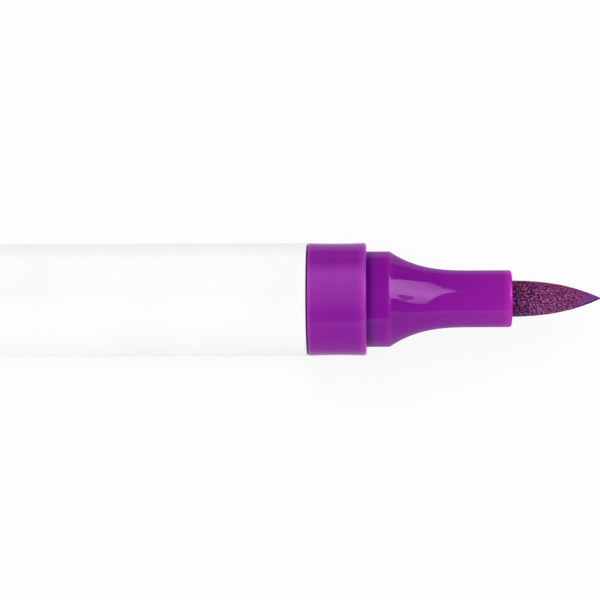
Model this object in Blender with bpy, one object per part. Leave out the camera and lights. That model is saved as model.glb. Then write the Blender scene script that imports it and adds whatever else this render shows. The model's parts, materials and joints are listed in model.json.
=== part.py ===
"""Acrylic paint marker with a brush nib: uncapped, with its cap posted on the tail.

The marker lies along X with its nib towards +X. Every station below is a distance along its
axis from the barrel's mouth, positive towards the nib. Pressing the nib pushes a sprung valve
stem off its seat, and paint runs from the barrel into the nose. A steel ball stirs the paint.
"""

import math

import bmesh
import bpy
from mathutils import Matrix, Vector

MM = 0.001

# Barrel
BARREL_RADIUS = 5.65 * MM
BARREL_LENGTH = 96.0 * MM
BARREL_WALL = 1.0 * MM  # at the mouth
BORE_STEP = 0.4 * MM  # the long bore is this much narrower than the mouth
BARREL_EDGE = 0.2 * MM

# Collar, the ring between the barrel and the nose
COLLAR_LENGTH = 5.85 * MM
COLLAR_INSET = 0.02 * MM  # its rims lie this far inside the barrel's surface
COLLAR_WAIST = 0.05 * MM  # depth of the hollow round its middle
COLLAR_EDGE = 0.25 * MM

# Nose
NOSE_SEAT_LENGTH = 2.3 * MM  # the cap grips this cylinder
NOSE_FLARE_LENGTH = 6.7 * MM
NOSE_TIP_LENGTH = 5.4 * MM
NOSE_TIP_RADIUS = 2.84 * MM
NOSE_TIP_EDGE = 0.25 * MM
NOSE_FLANGE_LENGTH = 0.8 * MM
NOSE_FLANGE_STEP = 0.4 * MM
NOSE_LEDGE_SETBACK = 2.0 * MM  # from the collar's front face back to the valve's seat
HOLDER_STOP_SETBACK = 2.4 * MM  # from the start of the straight tip back to the holder's stop
SPIGOT_LENGTH = 9.0 * MM  # how far the nose reaches into the barrel
SPIGOT_EDGE = 0.3 * MM
SPIGOT_WEB = 0.45 * MM  # wall left under the seal's groove

# Brush nib and its holder
NIB_RADIUS = 1.72 * MM
NIB_STRAIGHT = 1.2 * MM  # straight part outside the nose
NIB_POINT_LENGTH = 7.75 * MM
NIB_STROKE = 1.8 * MM
NIB_EDGE = 0.3 * MM
HOLDER_LENGTH = 4.5 * MM
HOLDER_WALL = 0.48 * MM
HOLDER_FLOOR = 1.2 * MM
FEED_WINDOWS = 3
FEED_WINDOW_LENGTH = 1.6 * MM
FEED_WINDOW_WIDTH = 1.1 * MM

# Valve
VALVE_WALL = 0.7 * MM
VALVE_FRONT_WALL = 1.5 * MM
VALVE_HOLE_RADIUS = 1.2 * MM
VALVE_FLANGE_LENGTH = 1.1 * MM
STEM_PIN_RADIUS = 0.8 * MM
STEM_ROD_RADIUS = 0.85 * MM
STEM_HEAD_LENGTH = 0.9 * MM
STEM_HEAD_FLOW_GAP = 0.45 * MM  # ring left open round the head for the paint
STEM_ROD_OVERRUN = 1.2 * MM  # the rod shows this far behind its retainer
STEM_EDGE = 0.2 * MM
VALVE_SEAL_LENGTH = 1.0 * MM
VALVE_SEAL_INSET = 0.15 * MM
RETAINER_LENGTH = 1.1 * MM
RETAINER_STEP = 0.4 * MM
RETAINER_SETBACK = 2.4 * MM  # from the valve's rear face to the retainer's
RETAINER_SLOTS = 3
RETAINER_SLOT_WIDTH = 1.0 * MM
SNAP_LIP_LENGTH = 0.5 * MM
SNAP_LIP_HEIGHT = 0.25 * MM
SPRING_WIRE = 0.4 * MM
SPRING_TURNS = 6
SPRING_POINTS_PER_TURN = 10

# Seal rings
RING_SECTION = 0.84 * MM
GROOVE_PLAY = 0.56 * MM  # the groove is this much wider than its ring

# Mixing ball
BALL_RADIUS = 2.5 * MM
BALL_STATION = -40.0 * MM

# Tail plug
TAIL_PLUG_LENGTH = 9.0 * MM
TAIL_WEB = 1.0 * MM
TAIL_END_WALL = 1.5 * MM
TAIL_EDGE = 0.8 * MM

# Cap, its liner and its clip
CAP_WALL = 0.76 * MM
CAP_FIT = 0.1 * MM
CAP_DRAFT = 0.2 * MM  # the closed end is this much slimmer than the rim
CAP_EDGE = 0.2 * MM
CAP_END_EDGE = 0.6 * MM
CAP_END_WALL = 2.5 * MM
CAP_AIR_SPACE = 5.5 * MM  # between the liner's end and the shell's
CAP_LEDGE = 0.4 * MM  # step in the shell that the liner's flange sits on
VENTS = 3
VENT_RADIUS = 0.7 * MM
VENT_CIRCLE_RADIUS = 3.0 * MM
LINER_WALL = 0.8 * MM
LINER_END_WALL = 0.9 * MM
LINER_FLANGE_LENGTH = 1.1 * MM
LINER_CLEARANCE = 0.45 * MM  # from the end of the nose's flare to the liner, when capped
LINER_NIB_CLEARANCE = 1.4 * MM  # from the nib's point to the liner's end, when capped
CLIP_WIDTH = 3.6 * MM
CLIP_THICKNESS = 1.1 * MM
CLIP_GAP = 1.0 * MM
CLIP_ROOT_LENGTH = 5.0 * MM
CLIP_ROOT_DEPTH = 0.7 * MM  # how far the root is sunk into the shell
CLIP_END_SETBACK = 1.6 * MM  # from the cap's closed end to the root
CLIP_RIM_SETBACK = 6.5 * MM  # from the cap's rim to the clip's free end
CLIP_BUMP_LENGTH = 3.0 * MM
CLIP_BUMP_GAP = 0.3 * MM
CLIP_EDGE = 0.35 * MM

# Fits between the pieces
JOINT_GAP = 0.15 * MM  # the line that shows where the barrel ends
SEAT_GAP = 0.1 * MM  # along the axis, between faces that seat on each other
SLIDE_FIT = 0.1 * MM  # radial, round pieces that slide
PRESS_FIT = 0.05 * MM  # radial, round pieces that are pressed in
RING_FIT = 0.03 * MM  # radial, round a seal ring

# Fineness of the turned pieces
OUTER_SEGMENTS = 40
INNER_SEGMENTS = 24
BALL_SEGMENTS = 20
FILLET_STEPS = 3
FLARE_STEPS = 10
NIB_STEPS = 10
WAIST_STEPS = 6
RING_STEPS = 8
FILLET_SHARE = 0.45  # most of a wall that the fillet at one of its ends may take
SMOOTH_ANGLE = math.radians(30)  # edges that bend more than this stay sharp
WELD_DISTANCE = 0.001 * MM
CUTTER_OVERLAP = 0.5 * MM

# Radii that follow from those sizes, from the outside in
MOUTH_RADIUS = BARREL_RADIUS - BARREL_WALL
BORE_RADIUS = MOUTH_RADIUS - BORE_STEP
COLLAR_RADIUS = BARREL_RADIUS - COLLAR_INSET
CAP_BORE_RADIUS = COLLAR_RADIUS - CAP_WALL
SEAT_RADIUS = CAP_BORE_RADIUS - CAP_FIT
NOSE_FLANGE_RADIUS = SEAT_RADIUS + NOSE_FLANGE_STEP
SPIGOT_RADIUS = MOUTH_RADIUS - PRESS_FIT
GROOVE_RADIUS = MOUTH_RADIUS - RING_SECTION - 2 * RING_FIT
CHAMBER_RADIUS = GROOVE_RADIUS - SPIGOT_WEB
VALVE_RADIUS = CHAMBER_RADIUS - SLIDE_FIT
VALVE_FLANGE_RADIUS = MOUTH_RADIUS - SLIDE_FIT
VALVE_BORE_RADIUS = VALVE_RADIUS - VALVE_WALL
RETAINER_BORE_RADIUS = VALVE_BORE_RADIUS + RETAINER_STEP
STEM_HEAD_RADIUS = VALVE_BORE_RADIUS - STEM_HEAD_FLOW_GAP
SPRING_RADIUS = (STEM_ROD_RADIUS + VALVE_BORE_RADIUS) / 2
NIB_BORE_RADIUS = NIB_RADIUS + SLIDE_FIT
HOLDER_SOCKET_RADIUS = NIB_RADIUS + PRESS_FIT
HOLDER_RADIUS = HOLDER_SOCKET_RADIUS + HOLDER_WALL
HOLDER_BORE_RADIUS = HOLDER_RADIUS + SLIDE_FIT
LINER_BORE_RADIUS = NOSE_TIP_RADIUS + SLIDE_FIT
LINER_RADIUS = LINER_BORE_RADIUS + LINER_WALL
CAP_INNER_RADIUS = CAP_BORE_RADIUS - CAP_LEDGE

# Stations that follow, from the nib back to the tail
COLLAR_REAR = JOINT_GAP
COLLAR_FRONT = COLLAR_REAR + COLLAR_LENGTH
SHOULDER = COLLAR_FRONT + NOSE_SEAT_LENGTH
TIP_START = SHOULDER + NOSE_FLARE_LENGTH
NOSE_FRONT = TIP_START + NOSE_TIP_LENGTH
NIB_SHOULDER = NOSE_FRONT + NIB_STRAIGHT
NIB_POINT = NIB_SHOULDER + NIB_POINT_LENGTH
FLANGE_REAR = SEAT_GAP
FLANGE_FRONT = FLANGE_REAR + NOSE_FLANGE_LENGTH
HOLDER_STOP = TIP_START - HOLDER_STOP_SETBACK
HOLDER_FRONT = HOLDER_STOP - SEAT_GAP
HOLDER_REAR = HOLDER_FRONT - HOLDER_LENGTH
NIB_REAR = HOLDER_REAR + HOLDER_FLOOR + SEAT_GAP
NOSE_LEDGE = COLLAR_FRONT - NOSE_LEDGE_SETBACK
NOSE_REAR = -SPIGOT_LENGTH
VALVE_FRONT = NOSE_LEDGE - SEAT_GAP
VALVE_SEAT = VALVE_FRONT - VALVE_FRONT_WALL
VALVE_FLANGE_FRONT = NOSE_REAR - SEAT_GAP
VALVE_REAR = VALVE_FLANGE_FRONT - VALVE_FLANGE_LENGTH
BARREL_LEDGE = VALVE_REAR - SEAT_GAP
STEM_FRONT = HOLDER_REAR - SEAT_GAP
SEAL_FRONT = VALVE_SEAT - SEAT_GAP
SEAL_REAR = SEAL_FRONT - VALVE_SEAL_LENGTH
HEAD_FRONT = SEAL_REAR - SEAT_GAP
HEAD_REAR = HEAD_FRONT - STEM_HEAD_LENGTH
RETAINER_REAR = VALVE_REAR + RETAINER_SETBACK
RETAINER_FRONT = RETAINER_REAR + RETAINER_LENGTH
STEM_REAR = RETAINER_REAR - STEM_ROD_OVERRUN
BARREL_REAR = -BARREL_LENGTH
TAIL_PLUG_FRONT = BARREL_REAR + TAIL_PLUG_LENGTH
CAP_RIM = BARREL_REAR - JOINT_GAP

# Depths inside the cap, measured from its rim, so that it fits the nose as well as the tail
LINER_RIM = NOSE_SEAT_LENGTH + NOSE_FLARE_LENGTH - JOINT_GAP + LINER_CLEARANCE
LINER_FLANGE_END = LINER_RIM + LINER_FLANGE_LENGTH
LINER_FLOOR = NIB_POINT - COLLAR_FRONT - JOINT_GAP + LINER_NIB_CLEARANCE
LINER_END = LINER_FLOOR + LINER_END_WALL
CAP_FLOOR = LINER_END + CAP_AIR_SPACE
CAP_LENGTH = CAP_FLOOR + CAP_END_WALL
TAIL_REAR = CAP_RIM - LINER_RIM + JOINT_GAP

# Place of the whole marker: on the floor, with the origin under the middle of its length
AXIS_HEIGHT = BARREL_RADIUS * math.cos(math.pi / OUTER_SEGMENTS)
MIDDLE = (NIB_POINT + CAP_RIM - CAP_LENGTH) / 2


def clear_scene():
    """Removes what the startup scene holds."""
    for obj in list(bpy.data.objects):
        bpy.data.objects.remove(obj, do_unlink=True)


def finish(name, colour, roughness, metallic=0.0):
    """A Principled material of one colour, given as linear red, green and blue."""
    material = bpy.data.materials.new(name)
    material.use_nodes = True
    shader = material.node_tree.nodes["Principled BSDF"]
    shader.inputs["Base Color"].default_value = (*colour, 1.0)
    shader.inputs["Roughness"].default_value = roughness
    shader.inputs["Metallic"].default_value = metallic
    return material


def fillet(before, corner, after, radius):
    """Points of the arc that rounds one corner, limited by the two walls beside it."""
    to_before = (before - corner).normalized()
    to_after = (after - corner).normalized()
    half_angle = to_before.angle(to_after) / 2
    room = FILLET_SHARE * min((before - corner).length, (after - corner).length)
    setback = min(radius / math.tan(half_angle), room)
    radius = setback * math.tan(half_angle)
    middle = (to_before + to_after).normalized()
    centre = corner + middle * (radius / math.sin(half_angle))
    start = corner + to_before * setback - centre
    end = corner + to_after * setback - centre
    turn = start.angle_signed(end)
    points = []
    for step in range(FILLET_STEPS + 1):
        angle = -turn * step / FILLET_STEPS
        cos, sin = math.cos(angle), math.sin(angle)
        points.append(centre + Vector((start.x * cos - start.y * sin, start.x * sin + start.y * cos)))
    return points


def outline(*corners):
    """A profile of (station, radius) or (station, radius, fillet) corners, with the fillets drawn."""
    places = [Vector(corner[:2]) for corner in corners]
    points = []
    for index, corner in enumerate(corners):
        if len(corner) == 2:
            points.append(places[index])
        else:
            after = places[(index + 1) % len(corners)]
            points += fillet(places[index - 1], places[index], after, corner[2])
    return points


def arc_radius(chord, rise):
    """Radius of the arc that leaves a straight line smoothly and rises this much along this length."""
    return (chord**2 + rise**2) / (2 * rise)


def add_object(name, mesh, material, station, axis):
    """One piece of the marker, with its origin on the axis at this station."""
    obj = bpy.data.objects.new(name, mesh)
    bpy.context.collection.objects.link(obj)
    obj.parent = axis
    obj.location.x = station
    if material:
        mesh.materials.append(material)
    return obj


def smooth(mesh):
    """Shades the round faces smooth and keeps the real edges sharp."""
    mesh.shade_smooth()
    mesh.set_sharp_from_angle(angle=SMOOTH_ANGLE)


def mesh_of(name, shape):
    """A mesh from a bmesh whose faces are turned outwards."""
    bmesh.ops.recalc_face_normals(shape, faces=shape.faces)
    mesh = bpy.data.meshes.new(name)
    shape.to_mesh(mesh)
    shape.free()
    return mesh


def turned(name, profile, material, axis, station=0.0, segments=OUTER_SEGMENTS, ring=True):
    """A piece spun round the axis. A ring's profile closes on itself, and a solid's ends on the axis."""
    shape = bmesh.new()
    start = math.pi / segments
    points = [(x - station, radius * math.sin(start), -radius * math.cos(start)) for x, radius in profile]
    verts = [shape.verts.new(point) for point in points]
    pairs = list(zip(verts, verts[1:]))
    if ring:
        pairs.append((verts[-1], verts[0]))
    edges = [shape.edges.new(pair) for pair in pairs]
    bmesh.ops.spin(
        shape,
        geom=verts + edges,
        cent=(0, 0, 0),
        axis=(1, 0, 0),
        angle=2 * math.pi,
        steps=segments,
        use_merge=True,
    )
    bmesh.ops.remove_doubles(shape, verts=shape.verts, dist=WELD_DISTANCE)
    mesh = mesh_of(name, shape)
    smooth(mesh)
    return add_object(name, mesh, material, station, axis)


def cut(obj, cutter, operation="DIFFERENCE"):
    """Cuts a helper out of a piece, or joins it on, and hides the helper."""
    modifier = obj.modifiers.new(cutter.name, "BOOLEAN")
    modifier.operation = operation
    modifier.object = cutter
    cutter.hide_render = True
    cutter.display_type = "WIRE"


def spokes(name, count, start, end, inner, outer, width, axis):
    """Bars that reach out from the axis, evenly spaced round it, as one helper."""
    shape = bmesh.new()
    for index in range(count):
        made = bmesh.ops.create_cube(shape, size=1.0)["verts"]
        bmesh.ops.scale(shape, vec=(end - start, width, outer - inner), verts=made)
        bmesh.ops.translate(shape, vec=((start + end) / 2, 0, (inner + outer) / 2), verts=made)
        turn = Matrix.Rotation(2 * math.pi * index / count, 3, "X")
        bmesh.ops.rotate(shape, cent=(0, 0, 0), matrix=turn, verts=made)
    return add_object(name, mesh_of(name, shape), None, 0.0, axis)


def make_barrel(axis, material):
    """Plain tube. Its wide mouth takes the nose, and the ledge behind it traps the valve's flange."""
    profile = outline(
        (0, MOUTH_RADIUS),
        (0, BARREL_RADIUS, BARREL_EDGE),
        (BARREL_REAR, BARREL_RADIUS, BARREL_EDGE),
        (BARREL_REAR, BORE_RADIUS),
        (BARREL_LEDGE, BORE_RADIUS),
        (BARREL_LEDGE, MOUTH_RADIUS),
    )
    turned("barrel", profile, material, axis)


def make_collar(axis, material):
    """Waisted ring pushed over the nose from the front, with a recess that hides the nose's flange."""
    bore = SEAT_RADIUS + PRESS_FIT
    recess = NOSE_FLANGE_RADIUS + PRESS_FIT
    start, end = COLLAR_REAR + COLLAR_EDGE, COLLAR_FRONT - COLLAR_EDGE
    waist = []
    for step in range(1, WAIST_STEPS):
        share = step / WAIST_STEPS
        depth = COLLAR_WAIST * 4 * share * (1 - share)
        waist.append((start + (end - start) * share, COLLAR_RADIUS - depth))
    profile = outline(
        (COLLAR_REAR, recess),
        (COLLAR_REAR, COLLAR_RADIUS, COLLAR_EDGE),
        *waist,
        (COLLAR_FRONT, COLLAR_RADIUS, COLLAR_EDGE),
        (COLLAR_FRONT, bore),
        (FLANGE_FRONT + SEAT_GAP, bore),
        (FLANGE_FRONT + SEAT_GAP, recess),
    )
    turned("collar", profile, material, axis)


def make_nose(axis, material):
    """Spigot, flange, cap seat, concave flare and straight tip in one moulding, bored for the nib."""
    rise = SEAT_RADIUS - NOSE_TIP_RADIUS
    sweep = arc_radius(NOSE_FLARE_LENGTH, rise)
    flare = []
    for step in range(FLARE_STEPS + 1):
        left = NOSE_FLARE_LENGTH * (1 - step / FLARE_STEPS)
        flare.append((TIP_START - left, NOSE_TIP_RADIUS + sweep - math.sqrt(sweep**2 - left**2)))
    groove_rear, groove_front = ring_groove(NOSE_REAR / 2)
    profile = outline(
        (NOSE_REAR, CHAMBER_RADIUS),
        (NOSE_REAR, SPIGOT_RADIUS, SPIGOT_EDGE),
        (groove_rear, SPIGOT_RADIUS),
        (groove_rear, GROOVE_RADIUS),
        (groove_front, GROOVE_RADIUS),
        (groove_front, SPIGOT_RADIUS),
        (FLANGE_REAR, SPIGOT_RADIUS),
        (FLANGE_REAR, NOSE_FLANGE_RADIUS),
        (FLANGE_FRONT, NOSE_FLANGE_RADIUS),
        (FLANGE_FRONT, SEAT_RADIUS),
        *flare,
        (NOSE_FRONT, NOSE_TIP_RADIUS, NOSE_TIP_EDGE),
        (NOSE_FRONT, NIB_BORE_RADIUS),
        (HOLDER_STOP, NIB_BORE_RADIUS),
        (HOLDER_STOP, HOLDER_BORE_RADIUS),
        (NOSE_LEDGE, HOLDER_BORE_RADIUS),
        (NOSE_LEDGE, CHAMBER_RADIUS),
    )
    turned("nose", profile, material, axis)


def ring_groove(middle):
    """The two stations of a seal ring's groove."""
    half = (RING_SECTION + GROOVE_PLAY) / 2
    return middle - half, middle + half


def make_seal_ring(name, station, bore, axis, material):
    """Round rubber ring that fills the gap between a groove and the bore round it."""
    centre = bore - RING_FIT - RING_SECTION / 2
    profile = []
    for step in range(RING_STEPS):
        angle = 2 * math.pi * (step + 0.5) / RING_STEPS
        reach = RING_SECTION / 2
        profile.append((station + reach * math.cos(angle), centre + reach * math.sin(angle)))
    turned(name, profile, material, axis, station=station)


def make_nib(axis, material):
    """Bonded-fibre rod with a pointed brush end, whose side is one arc that meets the rod smoothly."""
    sweep = arc_radius(NIB_POINT_LENGTH, NIB_RADIUS)
    point = []
    for step in range(NIB_STEPS + 1):
        along = NIB_POINT_LENGTH * step / NIB_STEPS
        point.append((NIB_SHOULDER + along, NIB_RADIUS + math.sqrt(sweep**2 - along**2) - sweep))
    profile = outline(
        (NIB_REAR, 0),
        (NIB_REAR, NIB_RADIUS, NIB_EDGE),
        *point[:-1],
        (NIB_POINT, 0),
    )
    turned("brush_nib", profile, material, axis, NOSE_FRONT, INNER_SEGMENTS, ring=False)


def make_nib_holder(axis, material):
    """Cup that grips the nib's rear end and pushes the valve stem, with windows that let paint in."""
    profile = outline(
        (HOLDER_REAR, 0),
        (HOLDER_REAR, HOLDER_RADIUS, STEM_EDGE),
        (HOLDER_FRONT, HOLDER_RADIUS, STEM_EDGE),
        (HOLDER_FRONT, HOLDER_SOCKET_RADIUS),
        (HOLDER_REAR + HOLDER_FLOOR, HOLDER_SOCKET_RADIUS),
        (HOLDER_REAR + HOLDER_FLOOR, 0),
    )
    holder = turned("nib_holder", profile, material, axis, HOLDER_REAR, INNER_SEGMENTS, ring=False)
    middle = (HOLDER_REAR + HOLDER_FLOOR + HOLDER_FRONT) / 2
    windows = spokes(
        "feed_windows",
        FEED_WINDOWS,
        middle - FEED_WINDOW_LENGTH / 2,
        middle + FEED_WINDOW_LENGTH / 2,
        HOLDER_SOCKET_RADIUS / 2,
        HOLDER_RADIUS + CUTTER_OVERLAP,
        FEED_WINDOW_WIDTH,
        axis,
    )
    cut(holder, windows)


def make_valve_body(axis, material):
    """Cup with the valve's hole in front, a snap lip for the retainer behind, and a trapped flange."""
    lip_front = RETAINER_REAR - SEAT_GAP
    lip_rear = lip_front - SNAP_LIP_LENGTH
    lip_radius = RETAINER_BORE_RADIUS - SNAP_LIP_HEIGHT
    profile = outline(
        (VALVE_FRONT, VALVE_HOLE_RADIUS),
        (VALVE_FRONT, VALVE_RADIUS, STEM_EDGE),
        (VALVE_FLANGE_FRONT, VALVE_RADIUS),
        (VALVE_FLANGE_FRONT, VALVE_FLANGE_RADIUS),
        (VALVE_REAR, VALVE_FLANGE_RADIUS, STEM_EDGE),
        (VALVE_REAR, RETAINER_BORE_RADIUS),
        (lip_rear, lip_radius),
        (lip_front, lip_radius),
        (lip_front, RETAINER_BORE_RADIUS),
        (RETAINER_FRONT + SEAT_GAP, RETAINER_BORE_RADIUS),
        (RETAINER_FRONT + SEAT_GAP, VALVE_BORE_RADIUS),
        (VALVE_SEAT, VALVE_BORE_RADIUS),
        (VALVE_SEAT, VALVE_HOLE_RADIUS),
    )
    turned("valve_body", profile, material, axis, segments=INNER_SEGMENTS)


def make_valve_stem(axis, material):
    """Push pin, poppet head and guide rod in one."""
    profile = outline(
        (STEM_FRONT, 0),
        (STEM_FRONT, STEM_PIN_RADIUS, STEM_EDGE),
        (HEAD_FRONT, STEM_PIN_RADIUS),
        (HEAD_FRONT, STEM_HEAD_RADIUS, STEM_EDGE),
        (HEAD_REAR, STEM_HEAD_RADIUS, STEM_EDGE),
        (HEAD_REAR, STEM_ROD_RADIUS),
        (STEM_REAR, STEM_ROD_RADIUS, STEM_EDGE),
        (STEM_REAR, 0),
    )
    turned("valve_stem", profile, material, axis, HEAD_FRONT, INNER_SEGMENTS, ring=False)


def make_valve_seal(axis, material):
    """Rubber washer on the stem that closes the valve's hole."""
    outer = STEM_HEAD_RADIUS - VALVE_SEAL_INSET
    inner = STEM_PIN_RADIUS + PRESS_FIT
    profile = outline(
        (SEAL_REAR, inner),
        (SEAL_REAR, outer, STEM_EDGE),
        (SEAL_FRONT, outer, STEM_EDGE),
        (SEAL_FRONT, inner),
    )
    turned("valve_seal", profile, material, axis, SEAL_FRONT, INNER_SEGMENTS)


def make_spring_retainer(axis, material):
    """Slotted disc that snaps into the valve, carries the spring and guides the stem's rod."""
    outer = RETAINER_BORE_RADIUS - PRESS_FIT
    inner = STEM_ROD_RADIUS + SLIDE_FIT
    profile = outline(
        (RETAINER_REAR, inner),
        (RETAINER_REAR, outer, STEM_EDGE),
        (RETAINER_FRONT, outer),
        (RETAINER_FRONT, inner),
    )
    retainer = turned("spring_retainer", profile, material, axis, segments=INNER_SEGMENTS)
    slots = spokes(
        "retainer_slots",
        RETAINER_SLOTS,
        RETAINER_REAR - CUTTER_OVERLAP,
        RETAINER_FRONT + CUTTER_OVERLAP,
        SPRING_RADIUS + SPRING_WIRE / 2,
        outer + CUTTER_OVERLAP,
        RETAINER_SLOT_WIDTH,
        axis,
    )
    cut(retainer, slots)


def least_gap(points, wire):
    """Smallest clear distance between a coiled wire and its own neighbouring turns."""
    apart = SPRING_POINTS_PER_TURN // 2
    found = math.inf
    for index, point in enumerate(points):
        for other in points[index + apart :]:
            found = min(found, (point - other).length - wire)
    return found


def make_valve_spring(axis, material):
    """Open coil spring between the stem's head and the retainer."""
    reach = SEAT_GAP + SPRING_WIRE / 2
    start, end = RETAINER_FRONT + reach, HEAD_REAR - reach
    count = SPRING_TURNS * SPRING_POINTS_PER_TURN
    points = []
    for index in range(count + 1):
        turn = 2 * math.pi * index / SPRING_POINTS_PER_TURN
        along = (end - start) * index / count
        points.append(Vector((along, SPRING_RADIUS * math.sin(turn), SPRING_RADIUS * math.cos(turn))))
    print(f"least gap in the valve spring {least_gap(points, SPRING_WIRE) / MM:.2f} mm")
    curve = bpy.data.curves.new("valve_spring", "CURVE")
    curve.dimensions = "3D"
    curve.bevel_depth = SPRING_WIRE / 2
    curve.bevel_resolution = 1
    curve.use_fill_caps = True
    spline = curve.splines.new("POLY")
    spline.points.add(count)
    for place, point in zip(spline.points, points):
        place.co = (*point, 1.0)
    add_object("valve_spring", curve, material, start, axis)


def make_mixing_ball(axis, material):
    """Steel ball that lies on the bottom of the bore and stirs the paint when the marker is shaken."""
    shape = bmesh.new()
    bmesh.ops.create_uvsphere(
        shape, u_segments=BALL_SEGMENTS, v_segments=BALL_SEGMENTS // 2, radius=BALL_RADIUS
    )
    mesh = mesh_of("mixing_ball", shape)
    mesh.shade_smooth()
    ball = add_object("mixing_ball", mesh, material, BALL_STATION, axis)
    ball.location.z = BALL_RADIUS + PRESS_FIT - BORE_RADIUS


def make_tail_plug(axis, material):
    """Hollow plug that closes the barrel, with a spigot behind it that the cap posts on."""
    plug = BORE_RADIUS - PRESS_FIT
    floor = BORE_RADIUS - RING_SECTION - 2 * RING_FIT
    hollow = floor - TAIL_WEB
    groove_rear, groove_front = ring_groove((BARREL_REAR + TAIL_PLUG_FRONT) / 2)
    profile = outline(
        (TAIL_REAR, 0),
        (TAIL_REAR, SEAT_RADIUS, TAIL_EDGE),
        (BARREL_REAR - SEAT_GAP, SEAT_RADIUS),
        (BARREL_REAR - SEAT_GAP, plug),
        (groove_rear, plug),
        (groove_rear, floor),
        (groove_front, floor),
        (groove_front, plug),
        (TAIL_PLUG_FRONT, plug, SPIGOT_EDGE),
        (TAIL_PLUG_FRONT, hollow),
        (TAIL_REAR + TAIL_END_WALL, hollow),
        (TAIL_REAR + TAIL_END_WALL, 0),
    )
    turned("tail_plug", profile, material, axis, BARREL_REAR, ring=False)


def make_cap_shell(axis, material):
    """Drafted cap with a vented flat end, a ledge for the liner and a pocket clip moulded on."""
    end = CAP_RIM - CAP_LENGTH
    ledge = CAP_RIM - LINER_FLANGE_END - SEAT_GAP
    floor = CAP_RIM - CAP_FLOOR
    profile = outline(
        (end, 0),
        (end, COLLAR_RADIUS - CAP_DRAFT, CAP_END_EDGE),
        (CAP_RIM, COLLAR_RADIUS, CAP_EDGE),
        (CAP_RIM, CAP_BORE_RADIUS, CAP_EDGE),
        (ledge, CAP_BORE_RADIUS),
        (ledge, CAP_INNER_RADIUS),
        (floor, CAP_INNER_RADIUS),
        (floor, 0),
    )
    shell = turned("cap_shell", profile, material, axis, CAP_RIM, ring=False)
    cut(shell, make_clip(axis), "UNION")
    cut(shell, make_vents(axis))


def make_clip(axis):
    """Side view of the clip, extruded to its width: root, arm and a bump that holds the cloth."""
    surface = COLLAR_RADIUS
    under = surface + CLIP_GAP
    top = under + CLIP_THICKNESS
    sunk = surface - CAP_DRAFT - CLIP_ROOT_DEPTH
    rear = CAP_RIM - CAP_LENGTH + CLIP_END_SETBACK
    free = CAP_RIM - CLIP_RIM_SETBACK
    bump = surface + CLIP_BUMP_GAP
    side = outline(
        (rear, sunk),
        (rear + CLIP_ROOT_LENGTH, sunk),
        (rear + CLIP_ROOT_LENGTH, under, CLIP_EDGE),
        (free - CLIP_BUMP_LENGTH, under, CLIP_THICKNESS),
        (free - CLIP_BUMP_LENGTH / 2, bump, CLIP_EDGE),
        (free, under, CLIP_EDGE),
        (free, top, CLIP_THICKNESS / 2),
        (rear, top, CLIP_THICKNESS),
    )
    shape = bmesh.new()
    verts = [shape.verts.new((x, -CLIP_WIDTH / 2, z)) for x, z in side]
    face = shape.faces.new(verts)
    made = bmesh.ops.extrude_face_region(shape, geom=[face])["geom"]
    moved = [item for item in made if isinstance(item, bmesh.types.BMVert)]
    bmesh.ops.translate(shape, vec=(0, CLIP_WIDTH, 0), verts=moved)
    return add_object("clip_blank", mesh_of("clip_blank", shape), None, 0.0, axis)


def make_vents(axis):
    """Drills for the air holes in the cap's end."""
    shape = bmesh.new()
    end = CAP_RIM - CAP_LENGTH
    depth = CAP_END_WALL + 2 * CUTTER_OVERLAP
    turn_to_axis = Matrix.Rotation(math.pi / 2, 3, "Y")
    for index in range(VENTS):
        angle = 2 * math.pi * index / VENTS
        made = bmesh.ops.create_cone(
            shape,
            cap_ends=True,
            segments=INNER_SEGMENTS // 2,
            radius1=VENT_RADIUS,
            radius2=VENT_RADIUS,
            depth=depth,
        )["verts"]
        bmesh.ops.rotate(shape, cent=(0, 0, 0), matrix=turn_to_axis, verts=made)
        place = (
            end + CAP_END_WALL / 2,
            VENT_CIRCLE_RADIUS * math.sin(angle),
            VENT_CIRCLE_RADIUS * math.cos(angle),
        )
        bmesh.ops.translate(shape, vec=place, verts=made)
    return add_object("vent_drills", mesh_of("vent_drills", shape), None, 0.0, axis)


def make_cap_liner(axis, material):
    """Closed inner cup that seals round the nose's tip, so that the vented cap keeps the nib wet."""
    rim = CAP_RIM - LINER_RIM
    profile = outline(
        (CAP_RIM - LINER_END, 0),
        (CAP_RIM - LINER_END, LINER_RADIUS, CAP_END_EDGE),
        (rim - LINER_FLANGE_LENGTH, LINER_RADIUS),
        (rim - LINER_FLANGE_LENGTH, CAP_BORE_RADIUS - PRESS_FIT),
        (rim, CAP_BORE_RADIUS - PRESS_FIT),
        (rim, LINER_BORE_RADIUS, CAP_EDGE),
        (CAP_RIM - LINER_FLOOR, LINER_BORE_RADIUS),
        (CAP_RIM - LINER_FLOOR, 0),
    )
    turned("cap_liner", profile, material, axis, CAP_RIM, segments=OUTER_SEGMENTS, ring=False)


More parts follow.
